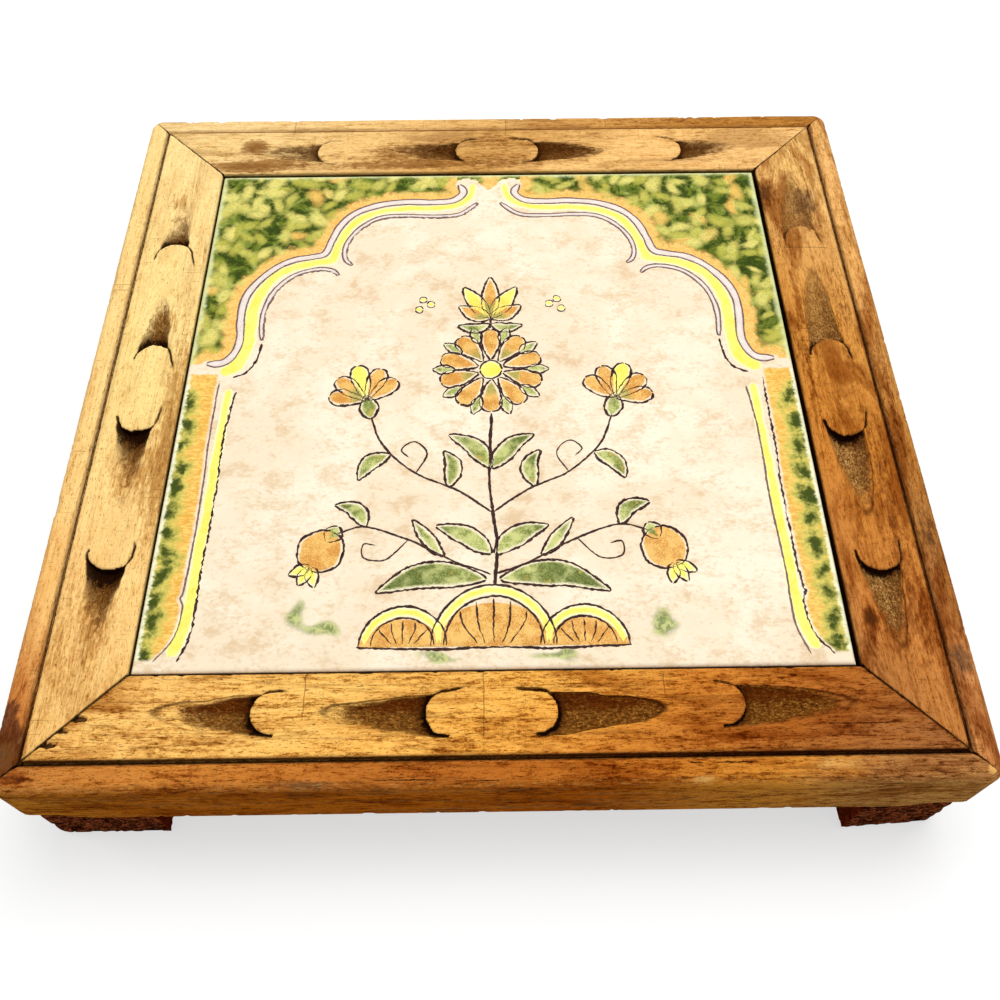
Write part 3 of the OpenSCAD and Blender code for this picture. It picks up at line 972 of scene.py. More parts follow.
# %% The wear of each rail, and the rails themselves
# Each row has the values of the front, the right, the back and the left rail
rail_wear = {
    "wall": ((104, 44, 8), (112, 64, 26), (70, 34, 8), (96, 48, 12)),  # painted shade on the steep wall of a cut
    "deep": ((78, 36, 8), (66, 34, 14), (126, 78, 30), (120, 68, 24)),  # deepest stain
    "pale": ((250, 196, 110), (240, 190, 116), (254, 214, 146), (255, 228, 164)),  # rubbed wood
    "groove": ((16, 6, 2), (64, 32, 10), (110, 62, 20), (60, 34, 12)),
    "smear": ((188, 154, 112), (176, 144, 114), (164, 138, 112), (196, 166, 132)),  # smudges
    "soak": ((0.35, 1.1), (0.5, 1.4), (0.45, 1.9), (0.75, 1.9)),  # depths where a cut is stained
    "steep": (0.88, 0.6, 0.5, 0.5),  # how strong the painted shade on the steep wall is
    "shade": (3.0, 2.6, 1.8, 4.4),  # reach of the brown painted shade beside a tongue, mm
    "shadow": (1.1, 1.2, 0.8, 2.1),  # reach of the black painted shadow beside a tongue, mm
    "line": (0.92, 0.85, 0.34, 0.92),  # how black the painted shadow at a tongue, the stop line and the knife cuts are
    "rim": (0.3, 0.2, 0.0, 0.0),  # how much of the painted shade line round the rim is on the shallow side too
    "outline": (0.8, 0.7, 0.1, 0.25),  # how dark the painted shade line round the rim is
    "groove_width": (0.30, 0.28, 0.22, 0.31),  # half width of the dark in the groove, mm
    "lip": (0.6, 0.45, 0.3, 0.4),  # how dark the lips of the groove are
    "seam": (0.6, 0.42, 0.22, 0.5),  # width of the dirt along the mitre
    "contrast": (1.45, 0.9, 0.8, 0.8),  # contrast of the timber
    "age": (0.425, 0.44, 0.42, 0.35),  # how dark the timber is in all
    "blotchy": (0.75, 0.9, 0.5, 0.2),  # strength of the blotches
    "rub": (0.3, 0.25, 0.15, 0.12),  # how pale the arrises are rubbed
    "faded": (0.0, 0.5, 0.1, 0.0),  # how much stain and painted shade is gone from the cuts past the middle
    "ragged": (3.0, 4.5, 5.0, 4.5),  # how ragged the stains end, mm
    "flecks": (0.8, 0.45, 0.5, 0.7),  # strength of the dark flecks
}
for number, (name, stain) in enumerate(rail_stains_and_light.items()):
    own_wear = {label: values[number] for label, values in rail_wear.items()}
    wood = mix_wood(name + "_stained", SimpleNamespace(**stain, **own_wear), 17.0 * number)
    make_rail(name, 90 * number, wood, 100 * number + 7)

# %% [markdown]
# The feet are offcuts, sawn rough and nailed under the corners: the two at the front left and back
# right lie along the frame, the other two stand across it, a little askew. Each is the surface of a
# box, drawn as six grids, with its outer upright edge rounded, saw marks slanting across its sides and
# two sunk holes in its underside where the nails went in.

# %% Saw a block
foot_height = 16.5
foot_round = 4.0
foot_pitch = 0.45


def box_grids(size_x, size_y):
    """The six faces of a box that ends at the origin, as grids of points, low ends before high ones"""
    limits = ((-size_x, 0), (-size_y, 0), (0, foot_height))
    wide, deep, tall = [np.linspace(low, high, round((high - low) / foot_pitch)) for low, high in limits]
    grids = []
    for low, high, axis in ((wide, deep, 2), (deep, tall, 0), (tall, wide, 1)):
        for limit in limits[axis]:
            first, second = np.meshgrid(low, high, indexing="ij")
            flat = np.full_like(first, limit)
            order = {2: (first, second, flat), 0: (flat, first, second), 1: (second, flat, first)}[axis]
            grids.append(np.stack(order, -1))
    return grids


def saw_block(size_x, size_y, seed):
    """A rough block: its flat surface, the surface as sawn, its faces, and the marks of the saw"""
    all_points = []
    all_quads = []
    count = 0
    for number, grid in enumerate(box_grids(size_x, size_y)):
        quads = grid_quads(*grid.shape[:2])
        all_quads.append((quads if number % 2 else quads[:, ::-1]) + count)
        all_points.append(grid.reshape(-1, 3))
        count += len(all_points[-1])
    flat = np.concatenate(all_points)
    x, y, z = flat.T
    on_side = np.minimum(np.minimum(-x, x + size_x), np.minimum(-y, y + size_y)) < 0.01
    past_x = np.maximum(x + foot_round, 0)
    past_y = np.maximum(y + foot_round, 0)
    bent, share = rounding(past_x, past_y)
    x = np.where(bent, -foot_round + past_x * share, x)
    y = np.where(bent, -foot_round + past_y * share, y)
    slant = x + y + 0.55 * z
    saw = ramp(drift((slant, z * 0.25), (0.9, 9), seed), -0.2, 0.8)
    torn = ramp(drift((x, y, z), (2.6, 2.6, 1.2), seed + 1), 0.15, 0.9)
    low = ramp(z, 1.8, 0.0) * (0.25 + 0.4 * torn)
    amount = on_side * (0.05 + 0.22 * saw + 0.4 * torn * torn + low)
    x = x + (-size_x / 2 - x) / (size_x / 2) * amount
    y = y + (-size_y / 2 - y) / (size_y / 2) * amount
    inner = (flat[:, 0] < 0.01 - size_x) * 1.0
    return flat, (x, y, z), np.concatenate(all_quads), np.stack([saw, torn, inner], -1)


print("points up a block:", round(foot_height / foot_pitch))

# %% Set a foot under its corner
foot_reach = 100.6
nail_near = half - 5.6
nail_far = half - 15.6
nail_hole = 2.1
hole_edge = 0.03
hole_depth = 1.0


def sink_hole(x, y, z, middle_x, middle_y):
    """Draw the underside's points to the edge of a nail hole and lift those within it"""
    away_x = x - middle_x
    away_y = y - middle_y
    away = np.maximum(np.hypot(away_x, away_y), 1e-9)
    under = z < 0.01
    close = under & (away < nail_hole + 0.5) & (away > nail_hole - 0.5)
    target = np.where(away < nail_hole, nail_hole - hole_edge, nail_hole + hole_edge)
    new_x = np.where(close, middle_x + away_x / away * target, x)
    new_y = np.where(close, middle_y + away_y / away * target, y)
    return new_x, new_y, under & (away < nail_hole)


def make_foot(name, sign_x, sign_y, sizes, skew, material, seed):
    """A rough block whose outer upright edge is at the corner with these signs"""
    flat, (x, y, z), quads, marks = saw_block(*sizes, seed)
    angle = math.radians(skew)
    flip_x = sign_x * x
    flip_y = sign_y * y
    world_x = sign_x * foot_reach + flip_x * math.cos(angle) - flip_y * math.sin(angle)
    world_y = sign_y * foot_reach + flip_x * math.sin(angle) + flip_y * math.cos(angle)
    lifted = np.zeros_like(z)
    for place_x, place_y in ((nail_near, nail_far), (nail_far, nail_near)):
        world_x, world_y, within = sink_hole(world_x, world_y, z, sign_x * place_x, sign_y * place_y)
        lifted = np.where(within, hole_depth, lifted)
    points = np.stack([world_x, world_y, z + lifted], -1)
    faces = quads[:, ::-1] if sign_x * sign_y < 0 else quads
    piece = make_piece(name + "_sawn", points, faces, [], {"grain": flat, "lines": marks}, material)
    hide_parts(name)
    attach(piece, "root")


print("nail holes, mm from the middle:", nail_near, nail_far)

# %% [markdown]
# Sawn end and side grain drank up far more stain than the planed rails, so the feet are a dark
# red-brown, nearly black where the saw tore them, with pale dry ridges between the saw marks.

# %% Mix the foot finish and make the feet
def mix_foot_wood():
    """Dark stained rough wood"""
    finish = Finish("foot_stained", {"Specular IOR Level": 0.0})
    grain = read(finish, "grain")
    saw, torn, inner = split(read(finish, "lines"))
    cloud = noise(grain, (0.12, 0.12, 0.3), 3.0, 0.6, 4.0)
    fibre = noise(grain, (0.5, 0.5, 3.5), 4.0, 0.7, 8.0)
    speck = noise(grain, (0.9, 0.9, 1.5), 4.0, 0.8, 2.0)
    colour = coats(two_tone(cloud, 0.35, 0.65, (120, 56, 28), (94, 36, 21)),
                   (step(fibre, 0.45, 0.62) * 0.7, (58, 28, 10)),
                   (saw * 0.45, (44, 20, 9)),
                   (torn * 0.5, (36, 17, 8)),
                   (step(speck, 0.51, 0.60) * 0.85, (198, 108, 62)),
                   (step(speck, 0.48, 0.42) * 0.85, (18, 7, 3)),
                   (inner * 0.8, two_tone(fibre, 0.4, 0.6, (150, 48, 20), (74, 22, 10))))
    finish.feed("Base Color", colour)
    finish.feed("Roughness", 0.62 + fibre * 0.3)
    bump(finish, fibre * 0.5 + speck * 0.8, 0.35)
    return finish.material


foot_wood = mix_foot_wood()
foot_plan = {"front_left_foot": (-1, -1, (27, 23), 0), "front_right_foot": (1, -1, (23, 27), 3.5),
             "back_right_foot": (1, 1, (27, 23), 0), "back_left_foot": (-1, 1, (23, 27), 3.5)}
for number, (name, plan) in enumerate(foot_plan.items()):
    make_foot(name, *plan, foot_wood, 500 + 20 * number)

# %% [markdown]
# The tile is one slab of clay under a thick glaze, with a rolled edge. Its top is a fine grid whose
# last rows bend down over the edge. The drawing is laid on it in raised glaze, so the ground stands a
# third of a millimetre lower than the rails. The grid also carries how far each point lies from the
# painted border, and the finish turns those distances into soft washes of colour.

# %% The lines of the painted border
tile_offset = (-0.25, -0.25, 0)
tile_half = 76.4
tile_edge = 1.0
ground = 35.15
outer_tube = [(8.5, 72), (7.3, 68.5), (10.2, 65.4), (16, 64.8), (23, 65), (30.5, 64), (37, 61), (41, 56.3),
              (43.2, 50.3), (44.8, 45.2)]
lower_tube = [(44.8, 45.2), (48, 43.9), (53.2, 42.7), (58.3, 39.3), (62.8, 33.4), (64.8, 28), (65, 21.5),
              (64.4, 15), (65.1, 10.6), (67.6, 7.3), (72, 6.8)]
upper_yellow = [(4.3, 72.6), (5.4, 67), (9.4, 63.4), (16, 62.3), (23, 62.4), (30.2, 61.2), (35.8, 58.4),
                (39.3, 53.6), (41.3, 47.8), (42.8, 42.2), (43, 40.8)]
lower_yellow = [(40.9, 43), (42.8, 42.4), (47.3, 41.6), (52.7, 40.0), (57.4, 36.6), (60.4, 31.6),
                (62, 25.4), (62.2, 18.4), (62.4, 11.8), (64, 6.6), (68, 3.4)]
upper_inner = [(3, 64.5), (8.4, 59.8), (15.6, 59.1), (24, 59.5), (30.1, 58.8), (34.8, 55.7), (38.2, 51),
               (39.5, 46.4), (39, 42.6), (37, 40.4)]
lower_inner = [(40.4, 36.8), (42.8, 38.8), (47, 39.1), (52.2, 37.2), (56.4, 32.8), (58.5, 27.8), (59.4, 22),
               (58.8, 14.2)]
last_inner = [(58.7, 13.5), (59.4, 7.8), (61.5, 4), (64.8, 2.3)]
side_outline = [(67.9, 0.8), (68, -8), (68, -19), (67.6, -30), (67.6, -42), (68, -56.5), (68.5, -59),
                (67.7, -61.2), (67.9, -66), (69.2, -70), (72.3, -74)]
side_yellow = [(65.1, -1), (65.3, -12), (65.6, -26), (65.6, -38.5), (66, -48), (66, -56.5), (66.3, -63),
               (67.4, -69), (69, -73)]
side_inner = [(63.4, -2), (63.9, -6), (64.5, -14), (64.6, -23), (64.4, -32), (64.5, -41), (64.9, -48),
              (65, -55), (64.8, -61), (65.2, -68), (67.1, -74)]
top_gusset = [(-9.2, 77.5), (-8.6, 74), (-6, 74.6), (-3.8, 73.6), (-0.2, 69.2), (3.8, 73.6), (6, 74.6),
              (8.6, 74), (9.2, 77.5)]
print("points in the side outline:", len(side_outline))

# %% Smooth lines through a few points
bits_between = 12


def even_out(line, pitch):
    """The same line with a new point every pitch millimetres"""
    walked = np.concatenate([[0], np.cumsum(np.linalg.norm(np.diff(line, axis=0), axis=1))])
    places = np.linspace(0, walked[-1], max(int(walked[-1] / pitch), 6))
    return np.stack([np.interp(places, walked, line[:, axis]) for axis in (0, 1)], -1)


def smooth(points, pitch=0.45):
    """A smooth line through the points, with a new point every pitch millimetres"""
    knots = np.array(points, dtype=float)
    ends = np.concatenate([[2 * knots[0] - knots[1]], knots, [2 * knots[-1] - knots[-2]]])
    share = (np.arange(bits_between) / bits_between)[:, None]
    bits = []
    for a, b, c, d in zip(ends[:-3], ends[1:-2], ends[2:-1], ends[3:]):
        bits.append(0.5 * (2 * b + (c - a) * share + (2 * a - 5 * b + 4 * c - d) * share ** 2
                           + (3 * b - a - 3 * c + d) * share ** 3))
    return even_out(np.concatenate(bits + [knots[-1:]]), pitch)


arch = np.concatenate([smooth(outer_tube), smooth(lower_tube)])
corner_patch = np.concatenate([[(9.2, 77.5)], arch[::3], [(77.5, 6.4), (77.5, 77.5)]])
print("arch points:", len(arch))

# %% [markdown]
# Five washes of green go on wet round the foot of the plant. Each is a soft oval: place, half width,
# half height and strength.

# %% Distances on the tile's top
green_washes = [(-36, -66.5, 5, 2.2, 1.0), (-42, -62.5, 2.6, 3.4, 0.9), (37, -66, 3.6, 4.2, 1.0),
                (-12, -73.6, 7, 1.2, 0.9), (13, -73.6, 7, 1.2, 0.9)]
strip_top = 4.2
strip_foot = -74.2


def nearest(x, y, line):
    """Distance from each point to the nearest point of a line"""
    best = np.full(x.shape, 1e9)
    for point in line[::2]:
        best = np.minimum(best, (x - point[0]) ** 2 + (y - point[1]) ** 2)
    return np.sqrt(best)


def inside(x, y, patch):
    """Whether each point lies inside a closed line"""
    within = np.zeros(x.shape, dtype=bool)
    for (x0, y0), (x1, y1) in zip(patch, np.roll(patch, -1, axis=0)):
        crossing = x0 + (y - y0) * (x1 - x0) / (y1 - y0 + 1e-9)
        within ^= ((y0 > y) != (y1 > y)) & (x < crossing)
    return within


def border_fields(x, y):
    """How far outside the arch, how far outside the side band, and how much green wash"""
    across = np.abs(x)
    band = nearest(across, y, arch) * np.where(inside(across, y, corner_patch), 1, -1)
    band = np.where(inside(x, y, np.array(top_gusset)), 2.0 + 0.8 * across, band)
    side = smooth(side_outline)
    order = np.argsort(side[:, 1])
    strip = across - np.interp(y, side[order, 1], side[order, 0])
    strip = np.minimum(strip, np.minimum(strip_top - y, y - strip_foot))
    wash = np.zeros_like(x)
    sway = 1.5 * drift((x, y), 4, 61)
    for place_x, place_y, wide, tall, strength in green_washes:
        wash += strength * np.exp(-((x - place_x + sway) / wide) ** 2 - ((y - place_y + sway) / tall) ** 2)
    return band, strip, wash


print("green washes:", len(green_washes))

# %% [markdown]
# The green of the corners was dabbed on with a small soft brush, each dab the shape of a leaf. They
# are strewn one to a cell over the corner, turned and sized by chance. The blots in the side strips
# hang in a chain along the edge of the tile.

# %% Strew the dabs and hang the blots
dab_reach = 6
dab_pitch = 4.9
chain_links = 12


def strew_dabs(places, region, pitch, seed):
    """How deep inside a dab each point of the grid lies, and that dab's own random number"""
    deepest = np.full(region.shape, -1.0)
    own = np.zeros(region.shape)
    count = int(tile_half / pitch) + 1
    for cell in np.ndindex(2 * count, 2 * count):
        chance = chances(seed, 7, *cell)
        middle = (np.array(cell) - count + chance[:2]) * pitch
        at = np.searchsorted(places, middle)
        if at.max() >= len(places) or not region[tuple(at)]:
            continue
        rows, columns = [slice(*np.searchsorted(places, [value - dab_reach, value + dab_reach]))
                         for value in middle]
        off_x = places[rows][:, None] - middle[0]
        off_y = places[columns][None, :] - middle[1]
        turn = math.pi * chance[2]
        along = off_x * math.cos(turn) + off_y * math.sin(turn)
        across = off_y * math.cos(turn) - off_x * math.sin(turn) + 0.16 * (chance[3] - 0.5) * along ** 2
        long_half = 2.6 + 2.2 * chance[4]
        here = 1 - np.hypot(along / long_half, across / (long_half * (0.36 + 0.26 * chance[5])))
        own[rows, columns] = np.where(here > deepest[rows, columns], chance[6], own[rows, columns])
        deepest[rows, columns] = np.maximum(deepest[rows, columns], here)
    return deepest, own


def hang_blots(x, y):
    """How deep inside a blot of the side strips each point lies"""
    deepest = np.full(x.shape, -1.0)
    for side, from_rim in ((-1, 2.5), (1, 3.1)):
        level = 1.5
        for number in range(chain_links):
            chance = chances(910 + side, 5, number)
            level -= 5.2 + 2.6 * chance[0]
            middle = side * (tile_half - from_rim + 1.4 * (chance[1] - 0.5))
            off_x = x - middle + (chance[4] - 0.5) * (y - level)
            here = 1 - np.hypot(off_x / (1.9 + chance[2]), (y - level) / (2.8 + 2.2 * chance[3]))
            deepest = np.where(level > -73, np.maximum(deepest, here), deepest)
    return deepest


print("a cell of the dabs, mm:", dab_pitch)

# %% Lay out the top of the slab
flat_half = tile_half - tile_edge
flat_run = np.linspace(-flat_half, flat_half, 265)
edge_run = flat_half + tile_edge * math.pi / 2 * np.arange(1, 8) / 7
tile_reach = np.concatenate([-edge_run[::-1], flat_run, edge_run])
tile_rows = len(tile_reach)


def bend_over(reach):
    """Place across the tile and drop below the ground, for a length measured over the bend"""
    angle = np.clip((np.abs(reach) - flat_half) / tile_edge, 0, math.pi / 2)
    place = np.minimum(np.abs(reach), flat_half) + tile_edge * np.sin(angle)
    return np.sign(reach) * place, tile_edge * (1 - np.cos(angle))


def ground_at(x, y):
    """Height of the ground at each point: nearly level, with a slow swell"""
    return ground + 0.03 * drift((x, y), 17, 71) + 0.012 * drift((x, y), 5, 72)


line_place, line_drop = bend_over(tile_reach)
top_x, top_y = np.meshgrid(line_place, line_place, indexing="ij")
drop_x, drop_y = np.meshgrid(line_drop, line_drop, indexing="ij")
drop = (drop_x ** 3 + drop_y ** 3) ** (1 / 3)
from_edge = tile_half - np.maximum(np.abs(top_x), np.abs(top_y))
top = np.stack([top_x, top_y, ground_at(top_x, top_y) - drop], -1).reshape(-1, 3)
band, strip, wash = border_fields(top_x, top_y)
dabs, dab_number = strew_dabs(line_place, band > 0.5, dab_pitch, 77)
blots = hang_blots(top_x, top_y)
print("points on the slab's top:", len(top))

# %% Add the walls and the underside of the slab
wall_levels = [31.5, 29.5, 28.5]
run_up = np.arange(tile_rows - 1)
rim_order = np.concatenate([run_up, run_up * tile_rows + tile_rows - 1,
                            tile_rows * tile_rows - 1 - run_up, (tile_rows - 1 - run_up) * tile_rows])
walls = np.concatenate([np.column_stack([top[rim_order, :2], np.full(len(rim_order), level)])
                        for level in wall_levels])
slab_points = np.concatenate([top, walls])
wall_rows = np.concatenate([rim_order, len(top) + np.arange(len(walls))])
slab_quads = np.concatenate([grid_quads(tile_rows, tile_rows),
                             wall_rows[grid_quads(len(wall_levels) + 1, len(rim_order), wrap=True)]])
underside = wall_rows[-len(rim_order):][::-1]


def with_walls(*fields):
    """Fields of the tile's top, each with one plain value for all points of the walls"""
    return np.column_stack([np.concatenate([values.reshape(-1), np.full(len(walls), below)])
                            for values, below in fields])


slab_numbers = {
    "flat": np.column_stack([slab_points[:, :2], with_walls((from_edge, 0.0))]),
    "field": with_walls((band, -5.0), (strip, -5.0), (wash, 0.0)),
    "dabs": with_walls((dabs, -1.0), (dab_number, 0.0), (blots, -1.0)),
}
print("points in the slab:", len(slab_points))

# %% [markdown]
# The ground is a warm cream glaze, clouded with beige where it took up clay, and freckled. In the
# corners above the arch the green was dabbed on wet over a dark wash, with flecks of ochre and an
# orange glow along the border. The strips beside the pillars are orange, with fine crackle and green
# blots along the edge of the tile. The distances stored on the grid say where, and noise frays them.

# %% Noises of the ground, and its cream
ground_noises = {
    "cloud": ((0.045, 0.045, 0), 4.0, 0.62, 3.0, 0.5),
    "dapple": ((0.15, 0.20, 0), 5.0, 0.68, 11.0, 0.4),
    "grit": ((0.8, 1.2, 0), 3.0, 0.65, 23.0),
    "freckle": ((2.4, 2.4, 0), 1.0, 0.5, 31.0),
    "cloudy": ((0.20, 0.20, 0), 3.0, 0.6, 41.0, 1.0),
    "vein": ((0.65, 0.65, 0), 3.0, 0.62, 47.0, 0.6),
    "stipple": ((2.0, 2.0, 0), 2.0, 0.6, 49.0),
    "thread": ((0.40, 1.3, 0), 3.0, 0.65, 61.0, 1.4),
}


def read_tile(finish):
    """The numbers on the slab's mesh and the noises of its glaze, each as a wire with a name"""
    flat = read(finish, "flat")
    tile = SimpleNamespace()
    tile.edge = split(flat)[2]
    tile.band, tile.strip, tile.wash = split(read(finish, "field"))
    tile.dab, tile.own, tile.blot = split(read(finish, "dabs"))
    for name, settings in ground_noises.items():
        setattr(tile, name, noise(flat, *settings))
    return tile


def mix_cream(tile):
    """Cream glaze with beige clouds and brown freckles"""
    return coats(two_tone(tile.cloud, 0.34, 0.60, (249, 236, 212), (242, 224, 195)),
                 (step(tile.dapple + swing(tile.grit, 0.6), 0.44, 0.70) * 0.8, (227, 201, 164)),
                 (step(tile.dapple + swing(tile.cloud, 0.7), 0.58, 0.80) * 0.55, (217, 185, 142)),
                 (step(tile.grit, 0.56, 0.74) * 0.35, (216, 188, 152)),
                 (step(tile.freckle, 0.79, 0.83) * 0.6, (140, 112, 84)))


print("noises in the ground:", len(ground_noises))

# %% Green for the corners and orange for the strips
def mix_corner(tile):
    """Dabs of light green and ochre on a dark wash, and an orange glow along the border"""
    colour = two_tone(tile.cloudy + swing(tile.vein, 0.5), 0.40, 0.66, (50, 66, 6), (112, 126, 34))
    leaf = two_tone(tile.own, 0.1, 0.9, (190, 184, 78), (236, 222, 124))
    leaf = blend(step(tile.own, 0.86, 0.92) * 0.8, leaf, (240, 184, 88))
    frayed = tile.dab + swing(tile.vein, 1.1) + swing(tile.stipple, 0.2) + swing(tile.cloudy, 0.8)
    glow = step(tile.band + swing(tile.vein, 3.5) + swing(tile.cloudy, 5.0), 5.0, 2.6)
    pale_rim = step(tile.edge + swing(tile.vein, 1.8) + swing(tile.cloudy, 2.0), 2.0, 0.5)
    return coats(colour, (step(frayed, -0.32, 0.66) * 0.95, leaf),
                 (step(tile.vein + swing(tile.stipple, 0.9), 0.44, 0.70) * 0.35, (92, 112, 28)),
                 (step(tile.cloudy - swing(tile.vein, 0.6), 0.54, 0.78) * 0.5, (198, 206, 118)),
                 (glow, two_tone(tile.stipple + swing(tile.vein, 0.8), 0.4, 0.66,
                                 (250, 202, 116), (238, 178, 88))),
                 (pale_rim * 0.85, (224, 228, 168)))


def mix_strip(tile):
    """Orange with a fine crackle, green blots and a pale rim"""
    colour = two_tone(tile.thread + swing(tile.vein, 0.5), 0.38, 0.64, (250, 208, 112), (230, 170, 70))
    frayed = tile.blot + swing(tile.vein, 1.6) + swing(tile.stipple, 0.2) + swing(tile.cloudy, 1.4)
    pale_rim = step(tile.edge + swing(tile.vein, 1.6) + swing(tile.thread, 0.8), 1.6, 0.8)
    return coats(colour, (step(abs(tile.thread - 0.5), 0.018, 0.0) * 0.35, (168, 108, 40)),
                 (step(frayed, -0.70, 0.35) * 0.8, (190, 194, 92)),
                 (step(frayed, -0.05, 0.80) * 0.95, (44, 64, 6)),
                 (pale_rim * 0.92, two_tone(tile.vein, 0.45, 0.65, (246, 243, 214), (218, 222, 164))))


print("parts of the ground:", [part.__name__ for part in (mix_cream, mix_corner, mix_strip)])

# %% Glaze the slab
# Painted shade where the rolled edge of the tile turns down into the gap
edge_shade = (44, 30, 18)


def mix_ground():
    """The cream, the corners, the strips, the washes of green and painted shade on the rolled edge of the
    tile
    """
    finish = Finish("tile_ground", {"Roughness": 0.16, "IOR": 1.5, "Specular IOR Level": 0.25})
    tile = read_tile(finish)
    stroke = step(tile.wash + swing(tile.vein, 0.8), 0.30, 0.85)
    colour = coats(mix_cream(tile), (step(tile.band, 0.85, 1.25), mix_corner(tile)),
                   (step(tile.strip + swing(tile.vein, 1.0), 0.3, 1.1), mix_strip(tile)),
                   (stroke * 0.85, two_tone(tile.vein, 0.40, 0.62, (96, 122, 40), (190, 198, 118))),
                   (step(tile.edge + swing(tile.vein, 0.1), 0.16, 0.03) * 0.85, edge_shade))
    finish.feed("Base Color", colour)
    bump(finish, tile.grit * 0.2 + tile.dapple, 0.03)
    return finish.material


slab = make_piece("glazed_slab", slab_points + tile_offset, slab_quads, [underside], slab_numbers,
                  mix_ground())
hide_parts("tile")
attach(slab, "root")

# %% [markdown]
# The drawing stands up from the ground. Each mark is a blade: a line down its middle, a half width on
# either side, and a low dome between. A thin even blade is a drawn line, a fat one is a petal, and
# one function serves both. The finish reads how far each point lies in from the blade's edge, because
# the colour in a petal never quite reaches its outline.

# %% One blade of glaze
glaze_marks = {"outline": [], "orange": [], "green": [], "yellow": [], "white": []}
sunk_edge = 0.07


def side_of(line):
    """The direction square to the line, to its left, at each point"""
    ahead = np.gradient(line, axis=0)
    ahead /= np.maximum(np.linalg.norm(ahead, axis=1), 1e-9)[:, None]
    return np.stack([-ahead[:, 1], ahead[:, 0]], -1)


def from_ends(line, pitch):
    """Distance from each point of a line to the nearer of its ends"""
    count = np.arange(len(line))
    return np.minimum(count, count[::-1]) * pitch


def lay_blade(kind, line, left, right, height, tone, ribs=9, full=0.6):
    """Keep one domed mark that follows the ground; it is full height where it is wider than full"""
    count = len(line)
    spread_out = np.sin(np.linspace(-1, 1, ribs) * math.pi / 2)
    reach = np.where(spread_out[None, :] < 0, np.asarray(right)[:, None], np.asarray(left)[:, None])
    flat = line[:, None, :] + side_of(line)[:, None, :] * (spread_out[None, :, None] * reach[..., None])
    inset = reach * (1 - np.abs(spread_out[None, :]))
    crown = np.sqrt(1 - spread_out[None, :] ** 2) * np.clip(reach / full, 0, 1)
    crown[:, [0, -1]] = 0
    z = ground_at(flat[..., 0], flat[..., 1]) - sunk_edge + (height + sunk_edge) * crown
    points = np.concatenate([flat, z[..., None]], -1).reshape(-1, 3)
    share = np.broadcast_to(np.linspace(0, 1, count)[:, None], inset.shape)
    numbers = np.stack([inset, share, np.full_like(inset, tone)], -1).reshape(-1, 3)
    glaze_marks[kind].append((points, grid_quads(count, ribs, wrap=True), numbers))


print("glazes:", list(glaze_marks))

# %% A drawn line
ink_pitch = 0.3
ink_height = 0.17


def lay_line(points, width, tone, seed, beads=0.25, taper=1.2):
    """A drawn line, uneven in width the way a slip trailer leaves it"""
    line = points if isinstance(points, np.ndarray) else smooth(points, ink_pitch)
    walked = np.arange(len(line)) * ink_pitch
    tremor = 0.09 * drift((walked,), 4.0, seed) + 0.22 * beads * drift((walked,), 0.5, seed + 4)
    line = line + side_of(line) * tremor[:, None]
    uneven = 1 + beads * drift((walked,), 0.7, seed + 1) + 0.2 * drift((walked,), 5, seed + 2)
    half_width = 0.5 * width * uneven * np.sqrt(np.clip(from_ends(line, ink_pitch) / taper, 0, 1))
    lay_blade("outline", line, half_width, half_width, ink_height, tone, ribs=6, full=0.08)


print("height of a drawn line, mm:", ink_height)

# %% Petals and leaves
leaf_pitch = 0.35


def shape_of(kind, share):
    """Half width along a petal or leaf, as a share of its widest"""
    if kind == "round":
        return np.sqrt(np.clip(1 - (2 * share - 1) ** 2, 0, 1))
    if kind == "petal":
        return np.clip(1.35 * share ** 0.75 * np.sqrt(np.clip(1 - share ** 3.2, 0, 1)), 0, 1)
    return np.sin(math.pi * share ** 0.85) ** 0.85


def lay_leaf(colour, points, half_width, kind, tone, seed, ink=0.62):
    """A petal or leaf along a line, filled with colour and outlined on both sides"""
    line = smooth(points, leaf_pitch)
    bend = 0.15 * drift((np.arange(len(line)) * leaf_pitch,), 6.0, seed)
    line = line + side_of(line) * bend[:, None]
    share = np.linspace(0, 1, len(line))
    shape = half_width * shape_of(kind, share)
    left, right = [shape * (1 + 0.08 * drift((share * 9,), 2.0, seed + side)) for side in (1, 2)]
    lay_blade(colour, line, left, right, 0.16, tone)
    square = side_of(line)
    for number, edge in enumerate((line + square * left[:, None], line - square * right[:, None])):
        lay_line(even_out(edge, ink_pitch), ink, 1.0, seed + 5 + number, 0.5, 0.5)


print("half width of a petal at its middle:", round(float(shape_of("petal", 0.5)), 2))

# %% Tubes and strips
strip_pitch = 0.4


def lay_tube(points, half_width, seed, beads=(0.2, 0.2)):
    """A pale raised line with a thin dark line along both its sides, closed at the ends"""
    line = smooth(points, leaf_pitch)
    to_end = from_ends(line, leaf_pitch)
    swell = half_width * np.sqrt(np.clip(to_end / 2.2, 0, 1)) * (1 + 0.08 * drift((to_end,), 3, seed))
    lay_blade("white", line, swell, swell, 0.13, 0.0, ribs=7)
    for side, own_seed, bead in ((1, seed + 1, beads[0]), (-1, seed + 3, beads[1])):
        lay_line(line + side_of(line) * (side * swell[:, None]), 0.5, 0.35, own_seed, bead, 0.3)


def lay_strip(points, start_width, end_width, seed):
    """A strip of thick yellow glaze that widens from one end to the other"""
    line = smooth(points, strip_pitch)
    share = np.linspace(0, 1, len(line))
    ends = np.sqrt(np.clip(from_ends(line, strip_pitch) / 1.5, 0, 1))
    width = (start_width + (end_width - start_width) * share) * ends
    left, right = [width * (1 + 0.12 * drift((share * 60,), 2.5, seed + side)) for side in (0, 1)]
    lay_blade("yellow", line, left, right, 0.12, 0.0)


def flip(points, sign):
    """The same points, mirrored from right to left if the sign is -1"""
    return [(sign * x, y) for x, y in points]


print("a mirrored point:", flip([(1, 2)], -1))

